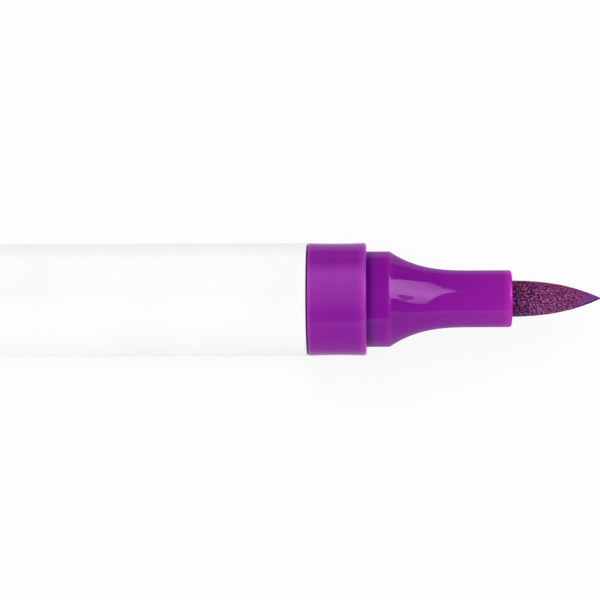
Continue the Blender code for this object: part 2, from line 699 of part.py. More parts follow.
def main():
    clear_scene()
    axis = bpy.data.objects.new("marker_axis", None)
    bpy.context.collection.objects.link(axis)
    axis.location = (-MIDDLE, 0, AXIS_HEIGHT)

    white = finish("white_plastic", (0.86, 0.86, 0.86), 0.35)
    satin = finish("purple_satin_plastic", (0.27, 0.018, 0.33), 0.45)
    gloss = finish("purple_gloss_plastic", (0.25, 0.011, 0.31), 0.12)
    fibre = finish("painted_fibre", (0.17, 0.034, 0.12), 0.85)
    natural = finish("natural_plastic", (0.78, 0.77, 0.72), 0.4)
    rubber = finish("black_rubber", (0.02, 0.02, 0.02), 0.7)
    steel = finish("bright_steel", (0.6, 0.6, 0.6), 0.2, metallic=1.0)

    make_barrel(axis, white)
    make_collar(axis, satin)
    make_nose(axis, gloss)
    make_seal_ring("nose_seal_ring", NOSE_REAR / 2, MOUTH_RADIUS, axis, rubber)
    make_nib(axis, fibre)
    make_nib_holder(axis, natural)
    make_valve_body(axis, natural)
    make_valve_stem(axis, natural)
    make_valve_seal(axis, rubber)
    make_valve_spring(axis, steel)
    make_spring_retainer(axis, natural)
    make_mixing_ball(axis, steel)
    make_tail_plug(axis, satin)
    tail_ring = (BARREL_REAR + TAIL_PLUG_FRONT) / 2
    make_seal_ring("tail_seal_ring", tail_ring, BORE_RADIUS, axis, rubber)
    make_cap_shell(axis, gloss)
    make_cap_liner(axis, natural)


main()
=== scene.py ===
# %% [markdown]
# # An acrylic paint marker with a brush nib
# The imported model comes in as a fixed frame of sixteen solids. They have the right sizes and places, but
# flat facets and plain colours. This lesson makes a finer surface for each piece that shows or flexes,
# keeps the solids that stay hidden inside, and gives every piece its own finish. The marker lies along X,
# with its nib towards +X.

# %% Load the frame
import json
import math

import bpy
import numpy as np
from mathutils import Matrix, Vector


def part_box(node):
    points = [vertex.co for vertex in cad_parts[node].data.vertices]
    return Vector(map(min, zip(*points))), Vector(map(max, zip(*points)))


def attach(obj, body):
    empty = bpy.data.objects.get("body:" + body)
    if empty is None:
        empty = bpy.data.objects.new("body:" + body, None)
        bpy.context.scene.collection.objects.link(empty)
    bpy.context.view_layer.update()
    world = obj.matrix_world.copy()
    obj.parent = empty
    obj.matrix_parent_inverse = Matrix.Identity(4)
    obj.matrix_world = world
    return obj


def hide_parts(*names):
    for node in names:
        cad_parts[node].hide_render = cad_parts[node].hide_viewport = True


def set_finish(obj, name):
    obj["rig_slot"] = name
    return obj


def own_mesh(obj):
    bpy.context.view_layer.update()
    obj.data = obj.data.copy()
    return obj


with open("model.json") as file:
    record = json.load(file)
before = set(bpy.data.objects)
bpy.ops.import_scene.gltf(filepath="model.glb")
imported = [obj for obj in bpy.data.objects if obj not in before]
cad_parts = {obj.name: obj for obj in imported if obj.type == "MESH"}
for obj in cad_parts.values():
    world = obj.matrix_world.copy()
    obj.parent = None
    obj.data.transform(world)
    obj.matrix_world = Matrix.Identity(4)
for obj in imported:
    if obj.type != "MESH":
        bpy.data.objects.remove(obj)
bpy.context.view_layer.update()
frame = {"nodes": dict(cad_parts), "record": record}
MM = 0.001
print("solids in the frame:", len(frame["nodes"]))

# %% [markdown]
# ## Where things are
# A turned object is easiest to describe by stations along its axis. Here a station is a distance from the
# barrel's mouth, positive towards the nib, as a maker would measure it with callipers. The frame says
# where the mouth is and how high the axis lies, so no place has to be typed in twice.

# %% The axis and its stations
barrel_low, barrel_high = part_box("barrel")
MOUTH_X = barrel_high.x
AXIS_Z = (barrel_low.z + barrel_high.z) / 2
MOUTH = np.array([MOUTH_X, 0, AXIS_Z])
ALONG = Vector((1, 0, 0))


def on_axis(station):
    """Return the point of the axis at a station given in metres."""
    return Vector((MOUTH_X + station, 0, AXIS_Z))


print(f"mouth at x = {MOUTH_X / MM:.2f} mm, axis {AXIS_Z / MM:.2f} mm above the floor")

# %% [markdown]
# ## The camera
# The rims of the collar and of the nose bend a little in the photograph, the one to the left and the other
# to the right. That fixes the lens: about 0.2 m away, opposite the nose's cap seat. The white table
# mirrors in the lower quarter of the glossy nose and in a thin strip at its top, which puts the lens about
# 60 degrees up. The view is aimed a little to the left of its foot, so the camera is turned until the axis
# lies level again, and then by the quarter of a degree that the nose and nib rise to the right in the
# photograph.

# %% Place the camera
VIEW_WIDTH = 60.0 * MM
CAMERA_DISTANCE = 205.0 * MM
CAMERA_ELEVATION = math.radians(60)
CAMERA_FOOT = 7.2 * MM
AIM_STATION = -0.65 * MM
AIM_DROP = 0.05 * MM
CAMERA_ROLL = math.radians(-0.23)
SENSOR_WIDTH = 36.0
NEAREST_SEEN = 0.01
FURTHEST_SEEN = 20.0

towards_lens = Vector((0, -math.cos(CAMERA_ELEVATION), math.sin(CAMERA_ELEVATION)))
image_up = towards_lens.cross(ALONG)
lens_place = on_axis(CAMERA_FOOT) + towards_lens * CAMERA_DISTANCE
aim = on_axis(AIM_STATION) - image_up * AIM_DROP
forward = (aim - lens_place).normalized()
right = (ALONG - forward * ALONG.dot(forward)).normalized()
up = right.cross(forward)

camera_data = bpy.data.cameras.new("camera")
camera_data.sensor_width = SENSOR_WIDTH
camera_data.lens = SENSOR_WIDTH * (aim - lens_place).length / VIEW_WIDTH
camera_data.clip_start = NEAREST_SEEN
camera_data.clip_end = FURTHEST_SEEN
camera = bpy.data.objects.new("camera", camera_data)
turn = Matrix((right, up, -forward)).transposed().to_4x4()
camera.matrix_world = Matrix.Translation(lens_place) @ turn @ Matrix.Rotation(CAMERA_ROLL, 4, "Z")
bpy.context.collection.objects.link(camera)
bpy.context.scene.camera = camera
bpy.context.scene.view_settings.view_transform = "Standard"
print(f"lens of {camera_data.lens:.0f} mm, {CAMERA_DISTANCE / MM:.0f} mm from the axis")

# %% [markdown]
# ## Nodes and meshes in a few words
# Every finish below is a small tree of shader nodes, and a few helpers keep those trees short. The first
# makes a node and fills in its sockets, where a socket's value may be a number, a colour or another node's
# output. The second starts a material with an empty tree, and the rest make the nodes that are needed
# again and again. Two helpers for meshes put points and faces into the scene, and store values on the
# points for the nodes to read.

# %% Helpers for node trees
PLAIN_WHITE = (1.0, 1.0, 1.0, 1.0)


def node(tree, kind, inputs=None, **settings):
    """Add a node to a tree, set its properties, and fill or link its named inputs."""
    made = tree.nodes.new(kind)
    for name, value in settings.items():
        setattr(made, name, value)
    for name, value in (inputs or {}).items():
        if isinstance(value, bpy.types.NodeSocket):
            tree.links.new(value, made.inputs[name])
        else:
            made.inputs[name].default_value = value
    return made


def new_material(name):
    """Start a material with an empty node tree and return it with its tree."""
    material = bpy.data.materials.new(name)
    material.use_nodes = True
    material.node_tree.nodes.clear()
    return material, material.node_tree


def put_out(tree, shader):
    """Link a shader to the material's output."""
    node(tree, "ShaderNodeOutputMaterial", {"Surface": shader.outputs[0]})


def plus(tree, first, second):
    """Sum of two numbers."""
    return node(tree, "ShaderNodeMath", {0: first, 1: second}, operation="ADD").outputs[0]


def times(tree, first, second):
    """Product of two numbers."""
    return node(tree, "ShaderNodeMath", {0: first, 1: second}, operation="MULTIPLY").outputs[0]


def mapped(tree, value, low, high, at_low=0.0, at_high=1.0, way="LINEAR"):
    """Value carried from the range low to high to the range at_low to at_high."""
    ranges = {"Value": value, "From Min": low, "From Max": high, "To Min": at_low, "To Max": at_high}
    return node(tree, "ShaderNodeMapRange", ranges, interpolation_type=way).outputs[0]


def blended(tree, share, first, second, way="MIX"):
    """Colour between two colours, by a share. A Mix node has its colours on inputs 6 and 7 and output 2."""
    colours = {0: share, 6: first, 7: second}
    return node(tree, "ShaderNodeMix", colours, data_type="RGBA", blend_type=way).outputs[2]


def noise(tree, place, scale, detail):
    """Value that wanders softly between 0 and 1 with the place."""
    return node(tree, "ShaderNodeTexNoise", {"Vector": place, "Scale": scale, "Detail": detail}).outputs[0]


def mask(tree, name):
    """Value that a mesh carries on its points under a name."""
    return node(tree, "ShaderNodeAttribute", attribute_name=name).outputs["Fac"]


# %% Helpers for meshes


def mesh_object(name, points, faces, *materials):
    """Put an object of points and faces into the scene."""
    mesh = bpy.data.meshes.new(name)
    mesh.from_pydata(points, [], faces)
    for material in materials:
        mesh.materials.append(material)
    made = bpy.data.objects.new(name, mesh)
    bpy.context.collection.objects.link(made)
    return made


def store(piece, name, values):
    """Put one number on every point of a piece, under a name that materials can read."""
    made = piece.data.attributes.new(name, "FLOAT", "POINT")
    made.data.foreach_set("value", np.asarray(values, np.float32))


# %% [markdown]
# ## The white table
# The marker lies on a white sheet that runs out of the picture. Paper under soft light would come out a
# pale grey, so what the camera sees directly is mixed with a glow of plain white. The glow takes only a
# share of the mix, so the marker keeps its shadow, and it lights nothing else. Reflections see the same
# mix.

# %% The table
TABLE_HALF = 4.0
TABLE_DROP = 0.02 * MM
TABLE_GREY = 0.9
WHITE_SHARE = 0.9


def table_finish():
    """White paper whose direct view is mixed with plain white."""
    material, tree = new_material("table_paper")
    rays = node(tree, "ShaderNodeLightPath").outputs
    seen = plus(tree, rays["Is Camera Ray"], rays["Is Glossy Ray"])
    seen = plus(tree, seen, rays["Is Transmission Ray"])
    share = times(tree, seen, WHITE_SHARE)
    paper = node(tree, "ShaderNodeBsdfDiffuse", {"Color": (TABLE_GREY, TABLE_GREY, TABLE_GREY, 1)})
    white = node(tree, "ShaderNodeEmission", {"Color": PLAIN_WHITE, "Strength": 1.0})
    put_out(tree, node(tree, "ShaderNodeMixShader", {0: share, 1: paper.outputs[0], 2: white.outputs[0]}))
    return material


reach = np.array([(-1, -1), (1, -1), (1, 1), (-1, 1)]) * TABLE_HALF
sheet = np.column_stack([reach, np.full(4, -TABLE_DROP)])
table = mesh_object("table", sheet, [(0, 1, 2, 3)], table_finish())
print(f"table {2 * TABLE_HALF:.0f} m wide, {TABLE_DROP / MM:.2f} mm below the marker's lowest facet")

# %% [markdown]
# ## The studio
# Glossy plastic shows the room. The room here is dim, so that the purple stays deep where nothing bright
# is mirrored, but in front of the table stands a low bright card. Its upper edge is the sharp line along
# the lower side of the nose. The card is a sky split by a plane that tilts up towards the front, so it has
# no ends to hide. Wide panels that reflections don't see do most of the lighting, so the white barrel
# stays even.

# %% The room
CARD_LEVEL = 1.4
ROOM_LEVEL = 0.16
CARD_TOP = math.radians(12)
CARD_BLUR = math.radians(1)

world = bpy.data.worlds.new("studio")
world.use_nodes = True
room = world.node_tree
room.nodes.clear()
direction = node(room, "ShaderNodeTexCoord").outputs["Generated"]
square_to_split = (0, math.sin(CARD_TOP), math.cos(CARD_TOP))
height = node(room, "ShaderNodeVectorMath", {0: direction, 1: square_to_split}, operation="DOT_PRODUCT")
fade = mapped(room, height.outputs["Value"], 0.0, CARD_BLUR, CARD_LEVEL, ROOM_LEVEL, "SMOOTHSTEP")
air = node(room, "ShaderNodeBackground", {"Color": PLAIN_WHITE, "Strength": fade})
node(room, "ShaderNodeOutputWorld", {"Surface": air.outputs[0]})
bpy.context.scene.world = world
print(f"room level {ROOM_LEVEL}, card {CARD_LEVEL}")

# %% The panels
FLARE_STATION = 11.0 * MM
MIDDLE_STATION = -20.0 * MM

flare = on_axis(FLARE_STATION)
middle = on_axis(MIDDLE_STATION)


def panel(name, target, away, width, length, brightness):
    """Hang a rectangular light, which reflections don't see, some way from a target and facing it."""
    light = bpy.data.lights.new(name, "AREA")
    light.shape = "RECTANGLE"
    light.size = width
    light.size_y = length
    light.energy = brightness * math.pi * width * length
    lamp = bpy.data.objects.new(name, light)
    place = target + Vector(away)
    aimed = (target - place).to_track_quat("-Z", "Y").to_matrix().to_4x4()
    lamp.matrix_world = Matrix.Translation(place) @ aimed
    lamp.visible_camera = False
    lamp.visible_glossy = False
    bpy.context.collection.objects.link(lamp)
    print(f"{name}: {width:.2f} by {length:.2f} m, {light.energy:.2f} W")


panel("key_panel", flare, away=(-0.05, -0.15, 0.475), width=0.56, length=0.56, brightness=0.78)
panel("top_fill", middle, away=(0, 0, 1.0), width=2.4, length=2.4, brightness=0.76)
panel("front_fill", middle, away=(0, -0.7, 0.12), width=1.6, length=0.24, brightness=1.08)
panel("back_fill", middle, away=(0, 0.8, 0.25), width=1.6, length=0.4, brightness=1.12)

# %% [markdown]
# ## What the plastic mirrors
# The wedge of light on the flare is a window's reflection. Its edges, followed back from the lens by the
# law of reflection, give the window's outline: many-sided, above the nose and to its right. It is brighter
# in the middle than along most of its edge, and a small shade hangs before it. The wedge is paler than the
# plastic but still violet, and so is the window's light. The soft band on the collar comes from a card
# overhead that is brightest across its middle and fades both ways. The white barrel mirrors neither of
# them in the photograph, and the nose not the card, so each sheet is linked to the pieces that do mirror
# it. The barrel has a wide white card of its own, which lifts its upper half. The cards hang behind the
# window, so that they don't hide it.

# %% The window and the cards overhead
GLOW_LIGHT = (1.0, 0.52, 0.98, 1.0)
WINDOW_DISTANCE = 0.5
WINDOW_BRIGHTNESS = 16.2
WINDOW_CORNERS = (
    (5.9, 30), (8.1, 35.6), (12.5, 44), (16.5, 57.5), (21.5, 65), (72, 88),
    (84, 16), (58.5, 2.5), (53.3, -5), (30.5, -19), (25.6, -17), (19, 8),
)
WINDOW_LEVELS = (0.7, 0.55, 0.45, 0.4, 0.45, 1.05, 0.7, 0.75, 0.75, 0.4, 0.3, 1.0, 1.05)
SHADE_DISTANCE = 0.15
SHADE_CORNERS = ((59.7, 18.5), (54.6, 6), (53.3, -5), (48.5, -5), (38.8, 0), (40, 10), (51, 15))
SHADE_LEVEL = 0.15
CARD_SIDE = 45
OVERHEAD_DISTANCE = 1.2
OVERHEAD_BRIGHTNESS = 10.0
OVERHEAD_FAR = 81
OVERHEAD_MIDDLE = 51
OVERHEAD_NEAR = -27
FADING_LEVELS = (0, 0, 1, 1, 0.5)
BARREL_CARD_DISTANCE = 3.0
BARREL_CARD_BRIGHTNESS = 11.0
BARREL_CARD_FAR = 95
BARREL_CARD_NEAR = 32
EVEN_LEVELS = (1, 1, 1, 1, 1)

mirrors_window = bpy.data.collections.new("mirrors_window")
mirrors_overhead = bpy.data.collections.new("mirrors_overhead")
mirrors_white = bpy.data.collections.new("mirrors_white")


def card(edge, other_edge):
    """Four corners of a card along the marker, between two angles round the axis."""
    return (-CARD_SIDE, edge), (CARD_SIDE, edge), (CARD_SIDE, other_edge), (-CARD_SIDE, other_edge)


def glow(name, mirrored_by, light, distance, brightness, corners, levels):
    """Hang a glowing sheet that only reflections on some pieces see.

    A corner is two angles as seen from the flare: a towards the nib, and b round the axis, from the lens
    upwards. It lies in the direction of sin a along X, cos a cos b towards the lens and cos a sin b up the
    picture. The brightness is multiplied by each corner's level, and amid the corners by the last level.
    """
    a, b = np.radians(np.array(corners, float)).T[:, :, None]
    across = np.cos(b) * np.array(towards_lens) + np.sin(b) * np.array(image_up)
    spots = np.array(flare) + distance * (np.sin(a) * np.array(ALONG) + np.cos(a) * across)
    points = np.concatenate([spots, spots.mean(axis=0, keepdims=True)])
    corner = np.arange(len(spots))
    faces = np.column_stack([corner, np.roll(corner, -1), np.full_like(corner, len(spots))])
    material, tree = new_material(name)
    strength = times(tree, mask(tree, "level"), brightness)
    put_out(tree, node(tree, "ShaderNodeEmission", {"Color": light, "Strength": strength}))
    hung = mesh_object(name, points, faces.tolist(), material)
    store(hung, "level", levels)
    hung.visible_camera = False
    hung.visible_diffuse = False
    hung.visible_shadow = False
    hung.light_linking.receiver_collection = mirrored_by
    print(f"{name}: {len(corners)} corners, {distance} m from the flare")


glow("bright_window", mirrors_window, GLOW_LIGHT, WINDOW_DISTANCE, WINDOW_BRIGHTNESS,
     WINDOW_CORNERS, WINDOW_LEVELS)
glow("window_shade", mirrors_window, GLOW_LIGHT, SHADE_DISTANCE, WINDOW_BRIGHTNESS,
     SHADE_CORNERS, np.full(len(SHADE_CORNERS) + 1, SHADE_LEVEL))
for half, edge in (("far_half_card", OVERHEAD_FAR), ("near_half_card", OVERHEAD_NEAR)):
    glow(half, mirrors_overhead, GLOW_LIGHT, OVERHEAD_DISTANCE, OVERHEAD_BRIGHTNESS,
         card(edge, OVERHEAD_MIDDLE), FADING_LEVELS)
glow("barrel_card", mirrors_white, PLAIN_WHITE, BARREL_CARD_DISTANCE, BARREL_CARD_BRIGHTNESS,
     card(BARREL_CARD_FAR, BARREL_CARD_NEAR), EVEN_LEVELS)

# %% [markdown]
# ## Turning an outline
# Nearly every piece of the marker is a turned shape, so one outline of stations and radii says it all.
# Blender's Screw modifier could turn a drawn outline, but worked out with numpy the corners get true arcs,
# and the whole grid of points comes from one line of algebra. Beside each arc lies a holding point, so
# that smooth shading stays inside the arc and the straight stretches stay straight.

# %% Outlines with rounded corners
ARC_STEPS = 6
HOLD = 0.02 * MM
TINY = 1e-12
SAME_PLACE = 1e-9


def unit(vectors):
    """Vectors divided by their own lengths."""
    return vectors / np.maximum(np.linalg.norm(vectors, axis=-1, keepdims=True), TINY)


def rounded(corners):
    """Outline through rows of (station, radius, rounding) in millimetres, with every corner made an arc.

    With half the angle between a corner's two sides, the arc starts rounding / tan(half) along one side,
    ends as far along the other, and is centred rounding / sin(half) along their bisector. Points between
    the two ends are blended by sines, which keeps them on the circle. With no rounding a corner stays one
    point.
    """
    rows = np.array(corners, float) * MM
    corner, rounding = rows[:, :2], rows[:, 2:]
    before = unit(np.roll(corner, 1, axis=0) - corner)
    after = unit(np.roll(corner, -1, axis=0) - corner)
    half = np.arccos(np.clip((before * after).sum(axis=1, keepdims=True), -1, 1)) / 2
    setback = rounding / np.maximum(np.tan(half), TINY)
    centre = corner + unit(before + after) * rounding / np.maximum(np.sin(half), TINY)
    start = corner + before * setback - centre
    end = corner + after * setback - centre
    sweep = np.pi - 2 * half
    share = np.linspace(0, 1, ARC_STEPS + 1)[:, None, None]
    blend = start * np.sin((1 - share) * sweep) + end * np.sin(share * sweep)
    arc = centre + blend / np.maximum(np.sin(sweep), TINY)
    hold = setback + HOLD * (rounding > 0)
    points = np.concatenate([(corner + before * hold)[None], arc, (corner + after * hold)[None]])
    points = points.transpose(1, 0, 2).reshape(-1, 2)
    apart = np.linalg.norm(points - np.roll(points, 1, axis=0), axis=1) > SAME_PLACE
    return points[apart]


def with_more_rings(outline, closed, longest_step):
    """Divide every run of an outline that is longer than the longest step into equal parts."""
    ends = np.roll(outline, -1, axis=0)
    lengths = np.linalg.norm(ends - outline, axis=1)
    parts = np.maximum(1, np.ceil(lengths / longest_step)).astype(int)
    if not closed:
        parts[-1] = 1
    run = np.repeat(np.arange(len(outline)), parts)
    step = np.arange(run.size) - np.repeat(np.cumsum(parts) - parts, parts)
    share = (step / parts[run])[:, None]
    return outline[run] * (1 - share) + ends[run] * share


# %% [markdown]
# ## From points to a piece
# Every new surface is a grid whose rows run along the piece and whose columns run round it and close. A
# tube's rows close as well, and any other piece ends in two poles with fans of triangles round them. The
# sign of the volume inside tells whether the faces look outwards.

# %% Grids and poles
SHARP_ANGLE = math.radians(32)


def grid_faces(spots, closed_rows):
    """Quads between the numbered points of a grid that closes round its columns, and maybe its rows."""
    below = np.roll(spots, -1, axis=0)
    corners = [spots, below, np.roll(below, -1, axis=1), np.roll(spots, -1, axis=1)]
    quads = np.stack(corners, axis=-1)
    return (quads if closed_rows else quads[:-1]).reshape(-1, 4)


def pole_faces(pole, ring):
    """Triangles between a pole and the ring of numbered points next to it."""
    return np.column_stack([np.full_like(ring, pole), ring, np.roll(ring, -1)])


def enclosed(points, faces):
    """Volume inside a closed surface, by the sum of the tetrahedra from the origin to its triangles."""
    first = points[faces[:, 0]]
    others = zip(faces.T[1:], faces.T[2:])
    return sum(np.einsum("ij,ij", first, np.cross(points[b], points[c])) for b, c in others) / 6


def new_piece(name, grid, poles=None, sharp=True):
    """Make a piece of a grid of points, with its faces turned outwards and shaded smooth.

    The grid closes round its columns. Its rows close as well, or end in two poles where those are given.
    """
    points = grid.reshape(-1, 3)
    spots = np.arange(len(points)).reshape(grid.shape[:2])
    quads = grid_faces(spots, poles is None)
    fans = np.empty((0, 3), int)
    if poles is not None:
        # The first fan is wound the other way, because its pole lies before its ring.
        first = pole_faces(len(points), spots[0])[:, [0, 2, 1]]
        fans = np.concatenate([first, pole_faces(len(points) + 1, spots[-1])])
        points = np.concatenate([points, poles])
    from_middle = points - points.mean(axis=0)
    volume = enclosed(from_middle, quads) + enclosed(from_middle, fans)
    way = 1 if volume > 0 else -1
    made = mesh_object(name, points, quads[:, ::way].tolist() + fans[:, ::way].tolist())
    made.data.shade_smooth()
    if sharp:
        made.data.set_sharp_from_angle(angle=SHARP_ANGLE)
    print(f"{name}: {len(made.data.polygons)} faces, {abs(volume) / MM**3:.1f} cubic mm")
    return made


# %% Turned pieces, their marks and their places in the record
SIDES = 180
LONG_STEP = 1.5 * MM
SHORT_STEP = 0.4 * MM


def carried_round(rings, columns):
    """Points at station x and radius r of each ring and at even angles a: y = r sin a and z = r cos a."""
    angle = np.arange(columns) * 2 * np.pi / columns
    x = np.repeat(rings[:, :1], columns, axis=1)
    return np.stack([x, rings[:, 1:] * np.sin(angle), rings[:, 1:] * np.cos(angle)], axis=-1)


def poles_of(outline):
    """First and last point of an outline that starts and ends on the axis."""
    return MOUTH + outline[[0, -1], :1] * np.array(ALONG)


def turned(name, outline, longest_step=LONG_STEP):
    """Turn an outline round the axis.

    An outline that starts and ends on the axis gets a pole at each end. Any other is a closed loop.
    """
    closed = outline[0, 1] > TINY
    outline = with_more_rings(outline, closed, longest_step)
    if closed:
        return new_piece(name, MOUTH + carried_round(outline, SIDES))
    return new_piece(name, MOUTH + carried_round(outline[1:-1], SIDES), poles_of(outline))


def mark(piece, name, *rows):
    """Store on every point the largest of strength times exp(-(distance / width) squared).

    Each row gives a station, a width and a strength, and the distance is measured along the axis.
    """
    place = np.empty(len(piece.data.vertices) * 3, np.float32)
    piece.data.vertices.foreach_get("co", place)
    along = (place.reshape(-1, 3)[:, :1] - MOUTH_X) / MM
    station, width, strength = np.array(rows).T
    store(piece, name, (strength * np.exp(-(((along - station) / width) ** 2))).max(axis=1))


def belongs(piece, body, slot, *nodes):
    """Let a piece ride on a body, take a slot of the record, and stand for the solids that it replaces."""
    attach(piece, body)
    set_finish(piece, slot)
    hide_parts(*nodes)


# %% [markdown]
# ## The barrel
# The barrel is a plain extruded tube. Its mouth is a little wider than its bore, and the step between the
# two holds the valve. What shows is one even white wall with a softly broken edge, so the outline needs
# six corners. Its front is drawn a hair further than the solid's, because the photograph has the seam
# there.

# %% Turn the barrel
BARREL_RADIUS = 5.65
BARREL_FRONT = 0.08
BARREL_REAR = -96.0
BARREL_EDGE = 0.08
BARREL_LEDGE = -10.3
MOUTH_RADIUS = 4.65
BORE_RADIUS = 4.25

barrel = turned("barrel_tube", rounded([
    (BARREL_FRONT, MOUTH_RADIUS, 0),
    (BARREL_FRONT, BARREL_RADIUS, BARREL_EDGE),
    (BARREL_REAR, BARREL_RADIUS, BARREL_EDGE),
    (BARREL_REAR, BORE_RADIUS, 0),
    (BARREL_LEDGE, BORE_RADIUS, 0),
    (BARREL_LEDGE, MOUTH_RADIUS, 0),
]))
belongs(barrel, "barrel_body", "white_plastic", "barrel")

# %% [markdown]
# ## The collar
# The ring between barrel and nose is drawn in by a twentieth of a millimetre at its middle. That is hardly
# a shape, but it bends the reflections. A parabola gives the waist: its depth is four times the share of
# the way along, times what is left of the way. Both rims are marked for painted highlights, and the seam
# for a painted shadow, for the finish to find.

# %% Turn the collar
COLLAR_REAR = 0.17
COLLAR_REAR_EDGE = 0.12
COLLAR_FRONT = 6.0
COLLAR_RADIUS = 5.63
COLLAR_EDGE = 0.25
COLLAR_WAIST = 0.05
COLLAR_BORE = 4.82
COLLAR_RECESS = 5.22
RECESS_FRONT = 1.0
WAIST_STEPS = 18
# Widths of the rims' painted highlights, and of the seam's painted shadow.
FRONT_HIGHLIGHT_WIDTH = 0.45
REAR_HIGHLIGHT = COLLAR_REAR + 0.17
REAR_HIGHLIGHT_WIDTH = 0.15
SEAM_SHADE_WIDTH = 0.08


def waist_points():
    """Points of the collar's parabola, without its ends."""
    share = np.linspace(0, 1, WAIST_STEPS + 1)[1:-1]
    start, end = COLLAR_REAR + COLLAR_REAR_EDGE, COLLAR_FRONT - COLLAR_EDGE
    station = start + (end - start) * share
    radius = COLLAR_RADIUS - COLLAR_WAIST * 4 * share * (1 - share)
    return np.column_stack([station, radius, np.zeros_like(share)])


collar = turned("collar_ring", rounded([
    (COLLAR_REAR, COLLAR_RECESS, 0),
    (COLLAR_REAR, COLLAR_RADIUS, COLLAR_REAR_EDGE),
    *waist_points(),
    (COLLAR_FRONT, COLLAR_RADIUS, COLLAR_EDGE),
    (COLLAR_FRONT, COLLAR_BORE, 0),
    (RECESS_FRONT, COLLAR_BORE, 0),
    (RECESS_FRONT, COLLAR_RECESS, 0),
]))
# Painted highlights along both rims of the collar.
mark(collar, "painted_rim_highlight", (COLLAR_FRONT, FRONT_HIGHLIGHT_WIDTH, 1.0), (REAR_HIGHLIGHT, REAR_HIGHLIGHT_WIDTH, 1.0))
# A painted shadow along the seam with the barrel.
mark(collar, "painted_corner_shade", (COLLAR_REAR, SEAM_SHADE_WIDTH, 1.0))
belongs(collar, "barrel_body", "purple_satin_plastic", "collar")

# %% [markdown]
# ## The nose
# One moulding holds the cap's seat, a hollow flare and the straight tip that carries the nib. The solid
# makes do with an arc for the flare. In the photograph it runs out more slowly towards the tip, as a cubic
# does. Where it meets the seat there is a crease, broken by a small rounding that catches a line of light,
# and a painted highlight runs along it as well. The tip is painted paler towards its end as a glow, with a
# painted highlight on its rim, and painted shade lies in the seat's corner by the collar.

# %% Turn the nose
SEAT_RADIUS = 4.77
SHOULDER = 8.3
CREASE_ROUNDING = 0.4
FLARE_END = 16.8
TIP_RADIUS = 2.84
TIP_EDGE = 0.25
NOSE_FRONT = 20.4
NIB_BORE = 1.82
NIB_BORE_EDGE = 0.1
HOLDER_STOP = 12.6
HOLDER_BORE = 2.35
NOSE_LEDGE = 4.0
NOSE_REAR = -9.0
CHAMBER_RADIUS = 3.3
SPIGOT_RADIUS = 4.6
SPIGOT_EDGE = 0.3
GROOVE_RADIUS = 3.75
GROOVE_REAR = -5.2
GROOVE_FRONT = -3.8
FLANGE_RADIUS = 5.17
FLANGE_REAR = 0.1
FLANGE_FRONT = 0.9
FLARE_STEPS = 36
# Painted highlights on the tip's rim and crease, a painted glow along the tip, painted shade by the collar.
TIP_HIGHLIGHT = (NOSE_FRONT, 0.75, 1.0)
TIP_GLOW = (NOSE_FRONT, 6.0, 0.25)
CREASE_HIGHLIGHT = (SHOULDER, 0.2, 0.3)
SEAT_CORNER_SHADE = (COLLAR_FRONT, 0.55, 1.0)


def flare_points():
    """Points of the flare from just after its crease to the straight tip.

    With a share left of the way to the tip, the radius is the tip's plus the rise times that share cubed.
    """
    length, rise = FLARE_END - SHOULDER, SEAT_RADIUS - TIP_RADIUS
    left = np.linspace(1, 0, FLARE_STEPS + 1)[1:]
    return np.column_stack([FLARE_END - length * left, TIP_RADIUS + rise * left**3, np.zeros_like(left)])


nose = turned("nose_moulding", rounded([
    (NOSE_REAR, CHAMBER_RADIUS, 0),
    (NOSE_REAR, SPIGOT_RADIUS, SPIGOT_EDGE),
    (GROOVE_REAR, SPIGOT_RADIUS, 0),
    (GROOVE_REAR, GROOVE_RADIUS, 0),
    (GROOVE_FRONT, GROOVE_RADIUS, 0),
    (GROOVE_FRONT, SPIGOT_RADIUS, 0),
    (FLANGE_REAR, SPIGOT_RADIUS, 0),
    (FLANGE_REAR, FLANGE_RADIUS, 0),
    (FLANGE_FRONT, FLANGE_RADIUS, 0),
    (FLANGE_FRONT, SEAT_RADIUS, 0),
    (SHOULDER, SEAT_RADIUS, CREASE_ROUNDING),
    *flare_points(),
    (NOSE_FRONT, TIP_RADIUS, TIP_EDGE),
    (NOSE_FRONT, NIB_BORE, NIB_BORE_EDGE),
    (HOLDER_STOP, NIB_BORE, 0),
    (HOLDER_STOP, HOLDER_BORE, 0),
    (NOSE_LEDGE, HOLDER_BORE, 0),
    (NOSE_LEDGE, CHAMBER_RADIUS, 0),
]), SHORT_STEP)
# Painted highlights: on the tip's rim, as a glow paler towards the tip's end, and as a line along the
# crease.
mark(nose, "painted_rim_highlight", TIP_HIGHLIGHT, TIP_GLOW, CREASE_HIGHLIGHT)
# Painted shade in the seat's corner by the collar.
mark(nose, "painted_corner_shade", SEAT_CORNER_SHADE)
belongs(nose, "barrel_body", "purple_gloss_plastic", "nose")

# %% [markdown]
# ## The brush nib
# The nib is a rod of bonded fibre, ground to a long point and soaked in paint. Its outline is coarse
# inside the nose, where it doesn't show, and fine outside it.

# %% Draw the nib
NIB_RADIUS = 1.72
NIB_EDGE = 0.3
NIB_REAR = 9.3
NIB_SHOULDER = 21.6
NIB_POINT = 29.35
FINE_START = 19.4
FINE_RINGS = 290
SWELL = 0.065
SWELL_MIDDLE = 20.7
SWELL_LENGTH = 1.5


